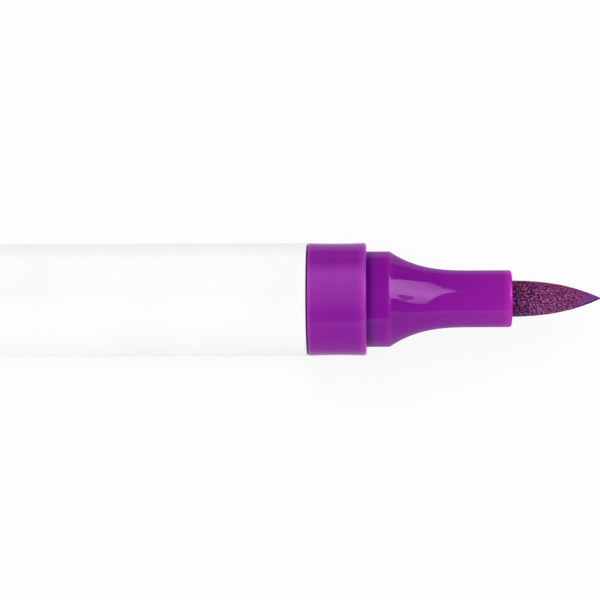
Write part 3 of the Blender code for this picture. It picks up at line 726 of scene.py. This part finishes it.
def nib_outline():
    """Stations and radii of the nib, from pole to pole.

    Past its shoulder the radius follows one arc: the rod's radius minus sweep plus the root of (sweep
    squared minus along squared). Where the soft rod leaves the nose it swells by a bell curve.
    """
    rear = rounded([(NIB_REAR, 0, 0), (NIB_REAR, NIB_RADIUS, NIB_EDGE), (FINE_START, NIB_RADIUS, 0)])
    length = NIB_POINT - NIB_SHOULDER
    sweep = (length**2 + NIB_RADIUS**2) / (2 * NIB_RADIUS)
    station = np.linspace(FINE_START, NIB_POINT, FINE_RINGS + 1)[1:]
    along = np.maximum(station - NIB_SHOULDER, 0)
    radius = NIB_RADIUS - sweep + np.sqrt(sweep**2 - along**2)
    radius += SWELL * np.exp(-(((station - SWELL_MIDDLE) / SWELL_LENGTH) ** 2))
    radius[-1] = 0
    return np.concatenate([rear, np.column_stack([station, radius]) * MM])


nib_rows = nib_outline()
print("rows of points along the nib:", len(nib_rows))

# %% [markdown]
# ## The pores
# Close up the nib's skin is a maze of ridges and pores. A noise texture could fake that with bump, but the
# pores show at the outline too, so they are cut into the mesh. Plane waves of an eighth to three eighths
# of a millimetre, in random directions, add up to just such a maze. Its height is kept as an attribute, so
# the colour can follow the same ridges, with painted shade in the pores. A second attribute says where
# shade is painted under the point: below a line that climbs from the underside to the point.

# %% Cut the pores
NIB_COLUMNS = 320
MAZE_WAVES = 120
MAZE_LENGTH = 0.25 * MM
MAZE_SPREAD = 0.5
MAZE_DEPTH = 0.024 * MM
MAZE_SEED = 7
MAZE_SQUEEZE = 0.9
DEEPEST_SHARE = 0.3
PORE_RAMP = 0.4
PORE_STATIONS = (NOSE_FRONT, 23.0, 26.5, 28.0, NIB_POINT)
PORE_STRENGTHS = (1.25, 1.0, 0.85, 0.5, 0.1)
# Painted shade under the point, below a line that climbs along the nib.
UNDERSIDE_SHADE_START = 26.5
UNDERSIDE_SHADE_RISE = 0.33
UNDERSIDE_SHADE_BLUR = 0.25


def maze(points):
    """Sum of plane waves of seeded random lengths and directions, squeezed into -1 to 1."""
    draw = np.random.default_rng(MAZE_SEED)
    lengths = MAZE_LENGTH * draw.uniform(1 - MAZE_SPREAD, 1 + MAZE_SPREAD, (MAZE_WAVES, 1))
    waves = unit(draw.normal(size=(MAZE_WAVES, 3))) * (2 * np.pi / lengths)
    shift = draw.uniform(0, 2 * np.pi, MAZE_WAVES)
    total = np.cos(points @ waves.T + shift).sum(axis=1)
    return np.tanh(MAZE_SQUEEZE * total / math.sqrt(MAZE_WAVES / 2))


def brush_nib(outline):
    """Turn the nib's outline, then move each point along its spoke by the maze's height.

    The depth grows from nothing just inside the nose, and is never more than a share of the radius.
    """
    rings = outline[1:-1]
    station = rings[:, :1] / MM
    skin = carried_round(rings, NIB_COLUMNS)
    spoke = carried_round(np.array([[0.0, 1.0]]), NIB_COLUMNS)
    height = maze(skin.reshape(-1, 3)).reshape(skin.shape[:2])
    height = height * np.interp(station, PORE_STATIONS, PORE_STRENGTHS)
    depth = MAZE_DEPTH * np.clip((station - FINE_START) / PORE_RAMP, 0, 1)
    depth = np.minimum(depth, DEEPEST_SHARE * rings[:, 1:])
    grid = MOUTH + skin + (depth * height)[..., None] * spoke
    made = new_piece("brush_nib_fibre", grid, poles_of(outline), sharp=False)
    # Painted shade under the point.
    level = UNDERSIDE_SHADE_RISE * (station - UNDERSIDE_SHADE_START)
    painted_underside_shade = np.clip((level - spoke[..., 2]) / UNDERSIDE_SHADE_BLUR, 0, 1)
    for name, values in (("pores", height), ("painted_underside_shade", painted_underside_shade)):
        store(made, name, np.append(values, np.zeros(2)))
    return made


nib = brush_nib(nib_rows)
belongs(nib, "nib_body", "painted_fibre", "brush_nib")

# %% [markdown]
# ## The cap
# An uncapped marker of this kind has its cap posted on the tail. The shell is turned like the rest. Its
# clip is not round: it is a loft of flat, rounded sections that stand across X, so at each station it only
# needs a top, an underside and a width. A Boolean joins the two, as the mould would, and drills the three
# air holes.

# %% The clip as a loft
CAP_RIM = -96.15
CAP_END = -129.65
CAP_RIM_RADIUS = 5.63
CAP_END_RADIUS = 5.43
CLIP_REAR = CAP_END + 1.6
CLIP_FREE = CAP_RIM - 6.5
CLIP_SUNK = 4.73
CLIP_UNDER = 6.63
CLIP_TOP = 7.73
CLIP_HALF_WIDTH = 1.8
CLIP_CLIMB_START = CLIP_REAR + 4.9
CLIP_CLIMB_LENGTH = 0.6
CLIP_BUMP = 0.7
CLIP_BUMP_LENGTH = 3.0
CLIP_EDGE = 0.35
CLIP_EDGE_LIMIT = 0.95
CLIP_RINGS = 150
CLIP_CORNER_POINTS = 8
REAR_TOP_ROUND = 1.1
FREE_TOP_ROUND = 0.6
FREE_UNDER_ROUND = 0.4
REAR_SIDE_ROUND = 0.5
FREE_SIDE_ROUND = 0.9


def eased_end(distance, radius):
    """How far a quarter circle of this radius still lies below its full height, this far from its end."""
    left = np.clip(radius - distance, 0, radius)
    return radius - np.sqrt(radius**2 - left**2)


def clip_section(station):
    """Top, underside and half width of the clip at each station.

    All three are cut back at the ends by quarter circles. The underside climbs out of the shell in front of
    the root by a parabola that levels off, and dips near the free end by a squared cosine.
    """
    from_rear, from_free = station - CLIP_REAR, CLIP_FREE - station
    top = CLIP_TOP - eased_end(from_rear, REAR_TOP_ROUND) - eased_end(from_free, FREE_TOP_ROUND)
    left = 1 - np.clip((station - CLIP_CLIMB_START) / CLIP_CLIMB_LENGTH, 0, 1)
    under = CLIP_SUNK + (CLIP_UNDER - CLIP_SUNK) * (1 - left**2)
    half_bump = CLIP_BUMP_LENGTH / 2
    bump_share = np.clip((from_free - half_bump) / half_bump, -1, 1)
    under = under - CLIP_BUMP * np.cos(bump_share * np.pi / 2) ** 2 + eased_end(from_free, FREE_UNDER_ROUND)
    half_width = CLIP_HALF_WIDTH - eased_end(from_rear, REAR_SIDE_ROUND)
    return top, under, half_width - eased_end(from_free, FREE_SIDE_ROUND)


def clip_blank():
    """Loft of rectangles with round corners, one at each station.

    Each quarter of a section is a quarter circle, moved out sideways and up or down by what the section has
    left of its half width and half height. Stations lie closer together near both ends.
    """
    even = np.linspace(0, 1, CLIP_RINGS)
    crowded = (1 - np.cos(np.pi * even)) / 2
    station = (CLIP_REAR + (CLIP_FREE - CLIP_REAR) * (even + crowded) / 2)[:, None]
    top, under, half_width = clip_section(station)
    middle_height, half_height = (top + under) / 2, (top - under) / 2
    rounding = np.minimum(CLIP_EDGE, CLIP_EDGE_LIMIT * np.minimum(half_width, half_height))
    quarter = np.repeat(np.arange(4), CLIP_CORNER_POINTS)
    angle = (quarter + np.tile(np.linspace(0, 1, CLIP_CORNER_POINTS), 4)) * np.pi / 2
    sideways = np.array([1, -1, -1, 1])[quarter]
    upward = np.array([1, 1, -1, -1])[quarter]
    x = np.repeat(station, len(angle), axis=1)
    y = (half_width - rounding) * sideways + rounding * np.cos(angle)
    z = (half_height - rounding) * upward + rounding * np.sin(angle) + middle_height
    grid = MOUTH + np.stack([x, y, z], axis=-1) * MM
    poles = np.column_stack([station, np.zeros_like(station), middle_height])[[0, -1]]
    return new_piece("clip_blank", grid, MOUTH + poles * MM)


# %% Join the clip to the shell and drill the vents
CAP_END_EDGE = 0.6
CAP_EDGE = 0.2
CAP_BORE = 4.87
CAP_LEDGE = CAP_RIM - 10.5
CAP_INNER = 4.47
CAP_FLOOR = CAP_RIM - 31.0
# Width of the painted highlight along the cap's rim.
CAP_RIM_HIGHLIGHT_WIDTH = 0.4
VENT_RADIUS = 0.7
VENT_CIRCLE = 3.0
VENTS = 3
VENT_SIDES = 32
VENT_OVERRUN = 1.0


def vent_drills():
    """Round rods along X, evenly spaced on a circle round the axis, as one mesh."""
    ends = np.array([CAP_END - VENT_OVERRUN, CAP_FLOOR + VENT_OVERRUN])
    rod = carried_round(np.column_stack([ends, np.full(2, VENT_RADIUS)]), VENT_SIDES)
    places = carried_round(np.array([[0, VENT_CIRCLE]]), VENTS).reshape(VENTS, 1, 1, 3)
    points = MOUTH + (places + rod).reshape(-1, 3) * MM
    spots = np.arange(len(points)).reshape(VENTS, 2, VENT_SIDES)
    walls = np.concatenate([grid_faces(rod_spots, False) for rod_spots in spots])
    spots[:, 0] = spots[:, 0, ::-1]
    discs = spots.reshape(-1, VENT_SIDES)
    return mesh_object("vent_drills", points, walls.tolist() + discs.tolist())


def worked(piece, helper, operation):
    """Join a helper to a piece or cut it out with a Boolean, apply that, and delete the helper."""
    modifier = piece.modifiers.new(helper.name, "BOOLEAN")
    modifier.operation = operation
    modifier.object = helper
    evaluated = piece.evaluated_get(bpy.context.evaluated_depsgraph_get())
    piece.data = bpy.data.meshes.new_from_object(evaluated)
    piece.modifiers.clear()
    bpy.data.objects.remove(helper, do_unlink=True)


cap = turned("cap_moulding", rounded([
    (CAP_END, 0, 0),
    (CAP_END, CAP_END_RADIUS, CAP_END_EDGE),
    (CAP_RIM, CAP_RIM_RADIUS, CAP_EDGE),
    (CAP_RIM, CAP_BORE, CAP_EDGE),
    (CAP_LEDGE, CAP_BORE, 0),
    (CAP_LEDGE, CAP_INNER, 0),
    (CAP_FLOOR, CAP_INNER, 0),
    (CAP_FLOOR, 0, 0),
]))
worked(cap, clip_blank(), "UNION")
worked(cap, vent_drills(), "DIFFERENCE")
cap.data.set_sharp_from_angle(angle=SHARP_ANGLE)
# A painted highlight along the cap's rim.
mark(cap, "painted_rim_highlight", (CAP_RIM, CAP_RIM_HIGHLIGHT_WIDTH, 1.0))
belongs(cap, "cap_body", "purple_gloss_plastic", "cap_shell")
print("cap with clip and vents:", len(cap.data.polygons), "faces")

# %% [markdown]
# ## Inside the cap
# Pull the cap off and two more pieces show: the plug that closes the barrel's tail, and the soft inner cup
# that seals round the nose when the marker is capped. Both are turned, and both end on the axis, so they
# get poles.

# %% Turn the tail plug and the liner
TAIL_REAR = -105.3
TAIL_EDGE = 0.8
TAIL_STEP = -96.1
PLUG_RADIUS = 4.2
PLUG_FRONT = -87.0
PLUG_GROOVE_RADIUS = 3.35
PLUG_GROOVE_REAR = -92.2
PLUG_GROOVE_FRONT = -90.8
PLUG_HOLLOW = 2.35
PLUG_HOLLOW_END = -103.8
LINER_RIM = CAP_RIM - 9.3
LINER_STEP = LINER_RIM - 1.1
LINER_END = CAP_RIM - 25.5
LINER_FLOOR = CAP_RIM - 24.6
LINER_RADIUS = 3.74
LINER_BORE = 2.94
LINER_FLANGE = 4.82

plug = turned("tail_plug_moulding", rounded([
    (TAIL_REAR, 0, 0),
    (TAIL_REAR, SEAT_RADIUS, TAIL_EDGE),
    (TAIL_STEP, SEAT_RADIUS, 0),
    (TAIL_STEP, PLUG_RADIUS, 0),
    (PLUG_GROOVE_REAR, PLUG_RADIUS, 0),
    (PLUG_GROOVE_REAR, PLUG_GROOVE_RADIUS, 0),
    (PLUG_GROOVE_FRONT, PLUG_GROOVE_RADIUS, 0),
    (PLUG_GROOVE_FRONT, PLUG_RADIUS, 0),
    (PLUG_FRONT, PLUG_RADIUS, SPIGOT_EDGE),
    (PLUG_FRONT, PLUG_HOLLOW, 0),
    (PLUG_HOLLOW_END, PLUG_HOLLOW, 0),
    (PLUG_HOLLOW_END, 0, 0),
]))
belongs(plug, "barrel_body", "purple_satin_plastic", "tail_plug")

liner = turned("cap_liner_cup", rounded([
    (LINER_END, 0, 0),
    (LINER_END, LINER_RADIUS, CAP_END_EDGE),
    (LINER_STEP, LINER_RADIUS, 0),
    (LINER_STEP, LINER_FLANGE, 0),
    (LINER_RIM, LINER_FLANGE, 0),
    (LINER_RIM, LINER_BORE, CAP_EDGE),
    (LINER_FLOOR, LINER_BORE, 0),
    (LINER_FLOOR, 0, 0),
]))
belongs(liner, "cap_body", "natural_plastic", "cap_liner")

# %% [markdown]
# ## The valve's spring
# When the nib is pressed, the coil behind the valve's head shortens. A solid can't do that, so the coil is
# made anew as a round wire carried along a helix.

# %% Wind the spring
COIL_START = -6.4
COIL_END = 0.0
COIL_RADIUS = 1.675
COIL_TURNS = 6
WIRE_RADIUS = 0.2
RINGS_PER_TURN = 36
WIRE_COLUMNS = 14


def spring_wire():
    """Circle carried along a helix.

    Each ring lies across the wire, on the direction outwards and the one square to it and to the wire.
    """
    count = COIL_TURNS * RINGS_PER_TURN + 1
    share = np.linspace(0, 1, count)
    turn_angle = share * COIL_TURNS * 2 * np.pi
    zero = np.zeros(count)
    outward = np.stack([zero, np.sin(turn_angle), np.cos(turn_angle)], axis=-1)
    centre = outward * COIL_RADIUS
    centre[:, 0] = COIL_START + (COIL_END - COIL_START) * share
    round_turn = np.stack([zero, np.cos(turn_angle), -np.sin(turn_angle)], axis=-1)
    climb = (COIL_END - COIL_START) / (COIL_TURNS * 2 * np.pi)
    tangent = unit(round_turn * COIL_RADIUS + climb * np.array(ALONG))
    sideways = np.cross(tangent, outward)
    angle = np.arange(WIRE_COLUMNS) * 2 * np.pi / WIRE_COLUMNS
    ring = np.cos(angle)[:, None] * outward[:, None] + np.sin(angle)[:, None] * sideways[:, None]
    grid = MOUTH + (centre[:, None] + WIRE_RADIUS * ring) * MM
    return new_piece("valve_spring_wire", grid, MOUTH + centre[[0, -1]] * MM)


spring = spring_wire()
belongs(spring, "barrel_body", "bright_steel", "valve_spring")
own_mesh(spring)

# %% [markdown]
# ## A moulded skin
# Plastic from a mould is never quite one colour or one gloss: the flow leaves slow clouds in it, and the
# steel of the mould leaves a fine grain. Both are noise, a slow one and a quick one, so one node group
# serves every plastic, rubber and metal here, each with sizes of its own. The group gives masks and
# heights, and no shader.

# %% The shared group
CLOUD_DETAIL = 3.0
GRAIN_DETAIL = 2.0
CLEAR_CLOUDS = (0.3, 0.7)


def new_group(name, inputs, outputs):
    """Start a node group with named sockets, and return it with the outputs of its input node."""
    group = bpy.data.node_groups.new(name, "ShaderNodeTree")
    for way, sockets in (("INPUT", inputs), ("OUTPUT", outputs)):
        for socket, kind in sockets.items():
            group.interface.new_socket(socket, in_out=way, socket_type=f"NodeSocket{kind}")
    print("shared group:", name, [socket.name for socket in group.interface.items_tree])
    return group, node(group, "NodeGroupInput").outputs


def skin_group():
    """Node group that makes a cloud mask and a grain height of a place and the scales of the two."""
    inputs = {"Place": "Vector", "Clouds": "Float", "Grain": "Float"}
    group, given = new_group("moulded_skin", inputs, {"Cloud": "Float", "Height": "Float"})
    cloud = noise(group, given["Place"], given["Clouds"], CLOUD_DETAIL)
    grain = noise(group, given["Place"], given["Grain"], GRAIN_DETAIL)
    node(group, "NodeGroupOutput", {"Cloud": mapped(group, cloud, *CLEAR_CLOUDS), "Height": grain})
    return group


SKIN = skin_group()

# %% [markdown]
# ## Painted highlights and painted shade
# Tinted plastic is a little see-through, and its rounded edges catch the light, so a thin edge is painted
# paler than the wall behind it, as a highlight. An inner corner, where no light gets in, is painted darker,
# as shade. The pieces carry both as masks on their points. The group below mixes the two colours in.

# %% The group for painted highlights and shade


def painted_light_group():
    """Node group that mixes in a painted highlight colour and then a painted shade colour."""
    inputs = dict.fromkeys(("Colour", "Highlight Colour", "Shade Colour"), "Color")
    inputs |= dict.fromkeys(("Highlight Share", "Shade Share"), "Float")
    group, given = new_group("painted_highlights_and_shade", inputs, {"Colour": "Color"})
    paler = blended(group, given["Highlight Share"], given["Colour"], given["Highlight Colour"])
    darker = blended(group, given["Shade Share"], paler, given["Shade Colour"])
    node(group, "NodeGroupOutput", {"Colour": darker})
    return group


PAINTED_LIGHT_GROUP = painted_light_group()

# %% [markdown]
# ## Colours from the screen
# Colours are easiest to judge as the eight-bit values that a screen shows, but a shader works with linear
# light. The conversion is the usual one: a short straight foot, then a power of 2.4.

# %% A plastic as a function


def screen(red, green, blue):
    """Linear colour of an eight-bit screen colour."""
    level = np.array([red, green, blue]) / 255
    linear = np.where(level <= 0.04045, level / 12.92, ((level + 0.055) / 1.055) ** 2.4)
    return (*linear.tolist(), 1.0)


def moulded(name, colours, roughness, shine, clouds, grain, depth,
            edge=None, corner=None, ringed=1.0, coat=0.0, coat_roughness=0.0, metal=0.0):
    """Finish between two close colours and two close roughnesses, over clouds and a grain.

    The size of the clouds and the size and depth of the grain are in metres. The edge is the colour of
    painted highlights on thin edges, where given, and the corner that of painted shade in corners. A grain
    that is ringed is drawn out across X by that factor.
    """
    material, tree = new_material(name)
    place = node(tree, "ShaderNodeTexCoord").outputs["Object"]
    if ringed != 1.0:
        squeeze = (1.0, 1 / ringed, 1 / ringed)
        place = node(tree, "ShaderNodeVectorMath", {0: place, 1: squeeze}, operation="MULTIPLY").outputs[0]
    given = {"Place": place, "Clouds": 1 / clouds, "Grain": 1 / grain}
    skin = node(tree, "ShaderNodeGroup", given, node_tree=SKIN).outputs
    colour = blended(tree, skin["Cloud"], *colours)
    if edge:
        given = {"Colour": colour, "Highlight Colour": edge, "Shade Colour": corner}
        given |= {"Highlight Share": mask(tree, "painted_rim_highlight"), "Shade Share": mask(tree, "painted_corner_shade")}
        # Painted highlights on edges and painted shade in corners, by the two masks.
        colour = node(tree, "ShaderNodeGroup", given, node_tree=PAINTED_LIGHT_GROUP).outputs["Colour"]
    bump = node(tree, "ShaderNodeBump", {"Height": skin["Height"], "Strength": 1.0, "Distance": depth})
    surface = {
        "Base Color": colour,
        "Roughness": mapped(tree, skin["Cloud"], 0.0, 1.0, *roughness),
        "Normal": bump.outputs[0],
        "Metallic": metal,
        "Specular IOR Level": shine,
        "Coat Weight": coat,
        "Coat Roughness": coat_roughness,
    }
    put_out(tree, node(tree, "ShaderNodeBsdfPrincipled", surface))
    return material


# %% [markdown]
# ## The plastics, the rubber and the steel
# The white barrel is almost even. The collar is a satin purple with a grain that runs round it, as a
# turned mould leaves it, under a faint coat. The nose and cap are the same purple, polished. Only pieces
# inside the marker and its cap wear the last three.

# %% Mix the finishes
FINISH = {}
FINISH["white_plastic"] = moulded(
    "white_plastic_skin", colours=(screen(248, 248, 249), screen(251, 251, 251)),
    roughness=(0.36, 0.44), shine=0.06, clouds=9 * MM, grain=0.14 * MM, depth=0.002 * MM,
)
# The satin's edge colour is a painted highlight, and its corner colour a painted shadow.
FINISH["purple_satin_plastic"] = moulded(
    "purple_satin_skin", colours=(screen(133, 24, 149), screen(140, 29, 155)), roughness=(0.16, 0.2),
    shine=0.03, clouds=1.5 * MM, grain=0.05 * MM, depth=0.012 * MM, edge=screen(170, 52, 180),
    corner=screen(80, 8, 96), ringed=20.0, coat=0.14, coat_roughness=0.15,
)
# The gloss's edge colour is a painted highlight, and its corner colour painted shade.
FINISH["purple_gloss_plastic"] = moulded(
    "purple_gloss_skin", colours=(screen(127, 18, 144), screen(133, 21, 150)), roughness=(0.05, 0.1),
    shine=0.0, clouds=3 * MM, grain=1.4 * MM, depth=0.002 * MM, edge=screen(180, 44, 178),
    corner=screen(79, 7, 106), coat=0.28, coat_roughness=0.06,
)
FINISH["natural_plastic"] = moulded(
    "natural_plastic_skin", colours=(screen(224, 222, 212), screen(232, 230, 222)),
    roughness=(0.35, 0.45), shine=0.4, clouds=2 * MM, grain=0.2 * MM, depth=0.004 * MM,
)
FINISH["black_rubber"] = moulded(
    "black_rubber_skin", colours=(screen(34, 34, 35), screen(42, 42, 43)), roughness=(0.6, 0.75),
    shine=0.4, clouds=1 * MM, grain=0.1 * MM, depth=0.006 * MM,
)
FINISH["bright_steel"] = moulded(
    "bright_steel_skin", colours=(screen(196, 197, 199), screen(206, 206, 207)), roughness=(0.18, 0.28),
    shine=0.5, clouds=1 * MM, grain=0.08 * MM, depth=0.001 * MM, metal=1.0,
)

# %% [markdown]
# ## The soaked fibre
# Along the nib the paint dries differently: dark and brownish where it leaves the nose, redder in the
# middle and bluish at the wet point. A ramp along X gives that. Painted shade makes the far side darker and
# browner, and painted light makes the near side paler and bluer. A slow noise near the base lets bluish
# pigment show through, more on the near side. The pores are painted darker than the ridges, as shade, the
# ridges carry painted glints, and painted shade lies dark under the point.

# %% Finish of the nib
DRIED_PAINT = (
    (0.0, screen(76, 27, 60)),
    (0.32, screen(126, 52, 106)),
    (0.76, screen(128, 56, 112)),
    (0.9, screen(129, 67, 158)),
    (1.0, screen(62, 34, 110)),
)
# Painted shade darkens and browns the far side, and painted light pales and blues the near side.
FAR_SIDE_SHADE_TINT = (0.98, 0.76, 0.72, 1)
NEAR_SIDE_LIGHT_TINT = (1.05, 1.15, 1.2, 1)
STAIN_COLOUR = screen(76, 52, 110)
STAIN_SIZE = 0.8 * MM
STAIN_DETAIL = 3.0
STAIN_EDGES = (0.48, 0.64)
STAIN_ALONG = (0.12, 0.42, 0.85, 0.12)
SPECKLE_SIZE = 0.22 * MM
SPECKLE_DETAIL = 1.0
SPECKLE_RELIEF = (0.3, 0.7, -0.35, 0.35)
# Painted shade in the pores and painted light on the ridges.
RELIEF_SHADE = (-1.0, 1.0, 0.12, 1.7)
# Painted glints on the ridges.
PAINTED_GLINT_COLOUR = screen(168, 112, 162)
PAINTED_GLINT_EDGES = (0.5, 1.3)
PAINTED_GLINT_STRENGTH = ((0.0, 0.3), (0.2, 0.75), (0.75, 0.6), (0.9, 0.0))
# Colour of the painted shade under the point.
UNDERSIDE_SHADE_COLOUR = screen(66, 34, 90)
PORE_ROUGHNESS = (-1.0, 1.0, 0.75, 0.42)
FIBRE_SHINE = 0.05


def ramped(tree, share, stops):
    """Colour that follows a share of the way through stops of a position and a colour."""
    ramp = node(tree, "ShaderNodeValToRGB", {"Fac": share})
    for stop in stops[1:-1]:
        ramp.color_ramp.elements.new(stop[0])
    for element, (position, colour) in zip(ramp.color_ramp.elements, stops):
        element.position = position
        element.color = colour
    return ramp.outputs["Color"]


def soaked_fibre():
    """Colour ramp along the nib, stained, with light, shade and glints painted by side and relief."""
    material, tree = new_material("painted_fibre_skin")
    place = node(tree, "ShaderNodeTexCoord").outputs["Object"]
    axes = node(tree, "ShaderNodeSeparateXYZ", {"Vector": place}).outputs
    share = mapped(tree, axes["X"], MOUTH_X + NOSE_FRONT * MM, MOUTH_X + NIB_POINT * MM)
    # Painted light and shade by side: 0 on the far side, 1 on the near side.
    light_side_share = mapped(tree, axes["Y"], NIB_RADIUS * MM, -NIB_RADIUS * MM)
    side_light_tint = blended(tree, light_side_share, FAR_SIDE_SHADE_TINT, NEAR_SIDE_LIGHT_TINT)
    colour = blended(tree, 1.0, ramped(tree, share, DRIED_PAINT), side_light_tint, "MULTIPLY")
    patches = mapped(tree, noise(tree, place, 1 / STAIN_SIZE, STAIN_DETAIL), *STAIN_EDGES)
    # The bluish patches are stronger on the near side, where the painted light is.
    stain = times(tree, times(tree, patches, mapped(tree, share, *STAIN_ALONG)), light_side_share)
    colour = blended(tree, stain, colour, STAIN_COLOUR)
    pores = mask(tree, "pores")
    speckle = mapped(tree, noise(tree, place, 1 / SPECKLE_SIZE, SPECKLE_DETAIL), *SPECKLE_RELIEF)
    relief = plus(tree, pores, speckle)
    # Painted shade in the pores and painted light on the ridges, by the relief.
    shade = {0: colour, "Scale": mapped(tree, relief, *RELIEF_SHADE)}
    colour = node(tree, "ShaderNodeVectorMath", shade, operation="SCALE").outputs[0]
    # Painted glints on the ridges, strongest near the base.
    strength = ramped(tree, share, [(spot, (level, level, level, 1)) for spot, level in PAINTED_GLINT_STRENGTH])
    painted_glint = times(tree, mapped(tree, relief, *PAINTED_GLINT_EDGES), strength)
    colour = blended(tree, painted_glint, colour, PAINTED_GLINT_COLOUR)
    # Painted shade under the point.
    colour = blended(tree, mask(tree, "painted_underside_shade"), colour, UNDERSIDE_SHADE_COLOUR)
    surface = {
        "Base Color": colour,
        "Roughness": mapped(tree, pores, *PORE_ROUGHNESS),
        "Specular IOR Level": FIBRE_SHINE,
    }
    put_out(tree, node(tree, "ShaderNodeBsdfPrincipled", surface))
    return material


FINISH["painted_fibre"] = soaked_fibre()
print("finishes for the slots:", ", ".join(FINISH))

# %% [markdown]
# ## Who wears what
# The pieces made above get their finish here, and the sheets that each of them mirrors. The solids that
# stay, all of them hidden inside the barrel, get theirs by the slot that the record gives each of them.

# %% Give out the finishes
for piece in (barrel, collar, nose, nib, cap, plug, liner, spring):
    piece.data.materials.clear()
    piece.data.materials.append(FINISH[piece["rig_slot"]])
    if piece["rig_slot"].startswith("purple"):
        mirrors_window.objects.link(piece)
mirrors_overhead.objects.link(collar)
mirrors_white.objects.link(barrel)

for subpart in frame["record"]["subparts"]:
    solid = frame["nodes"][subpart["node"]]
    for slot in solid.material_slots:
        slot.material = FINISH[subpart["material_slot"]]
print("finishes given to", len(FINISH), "slots")
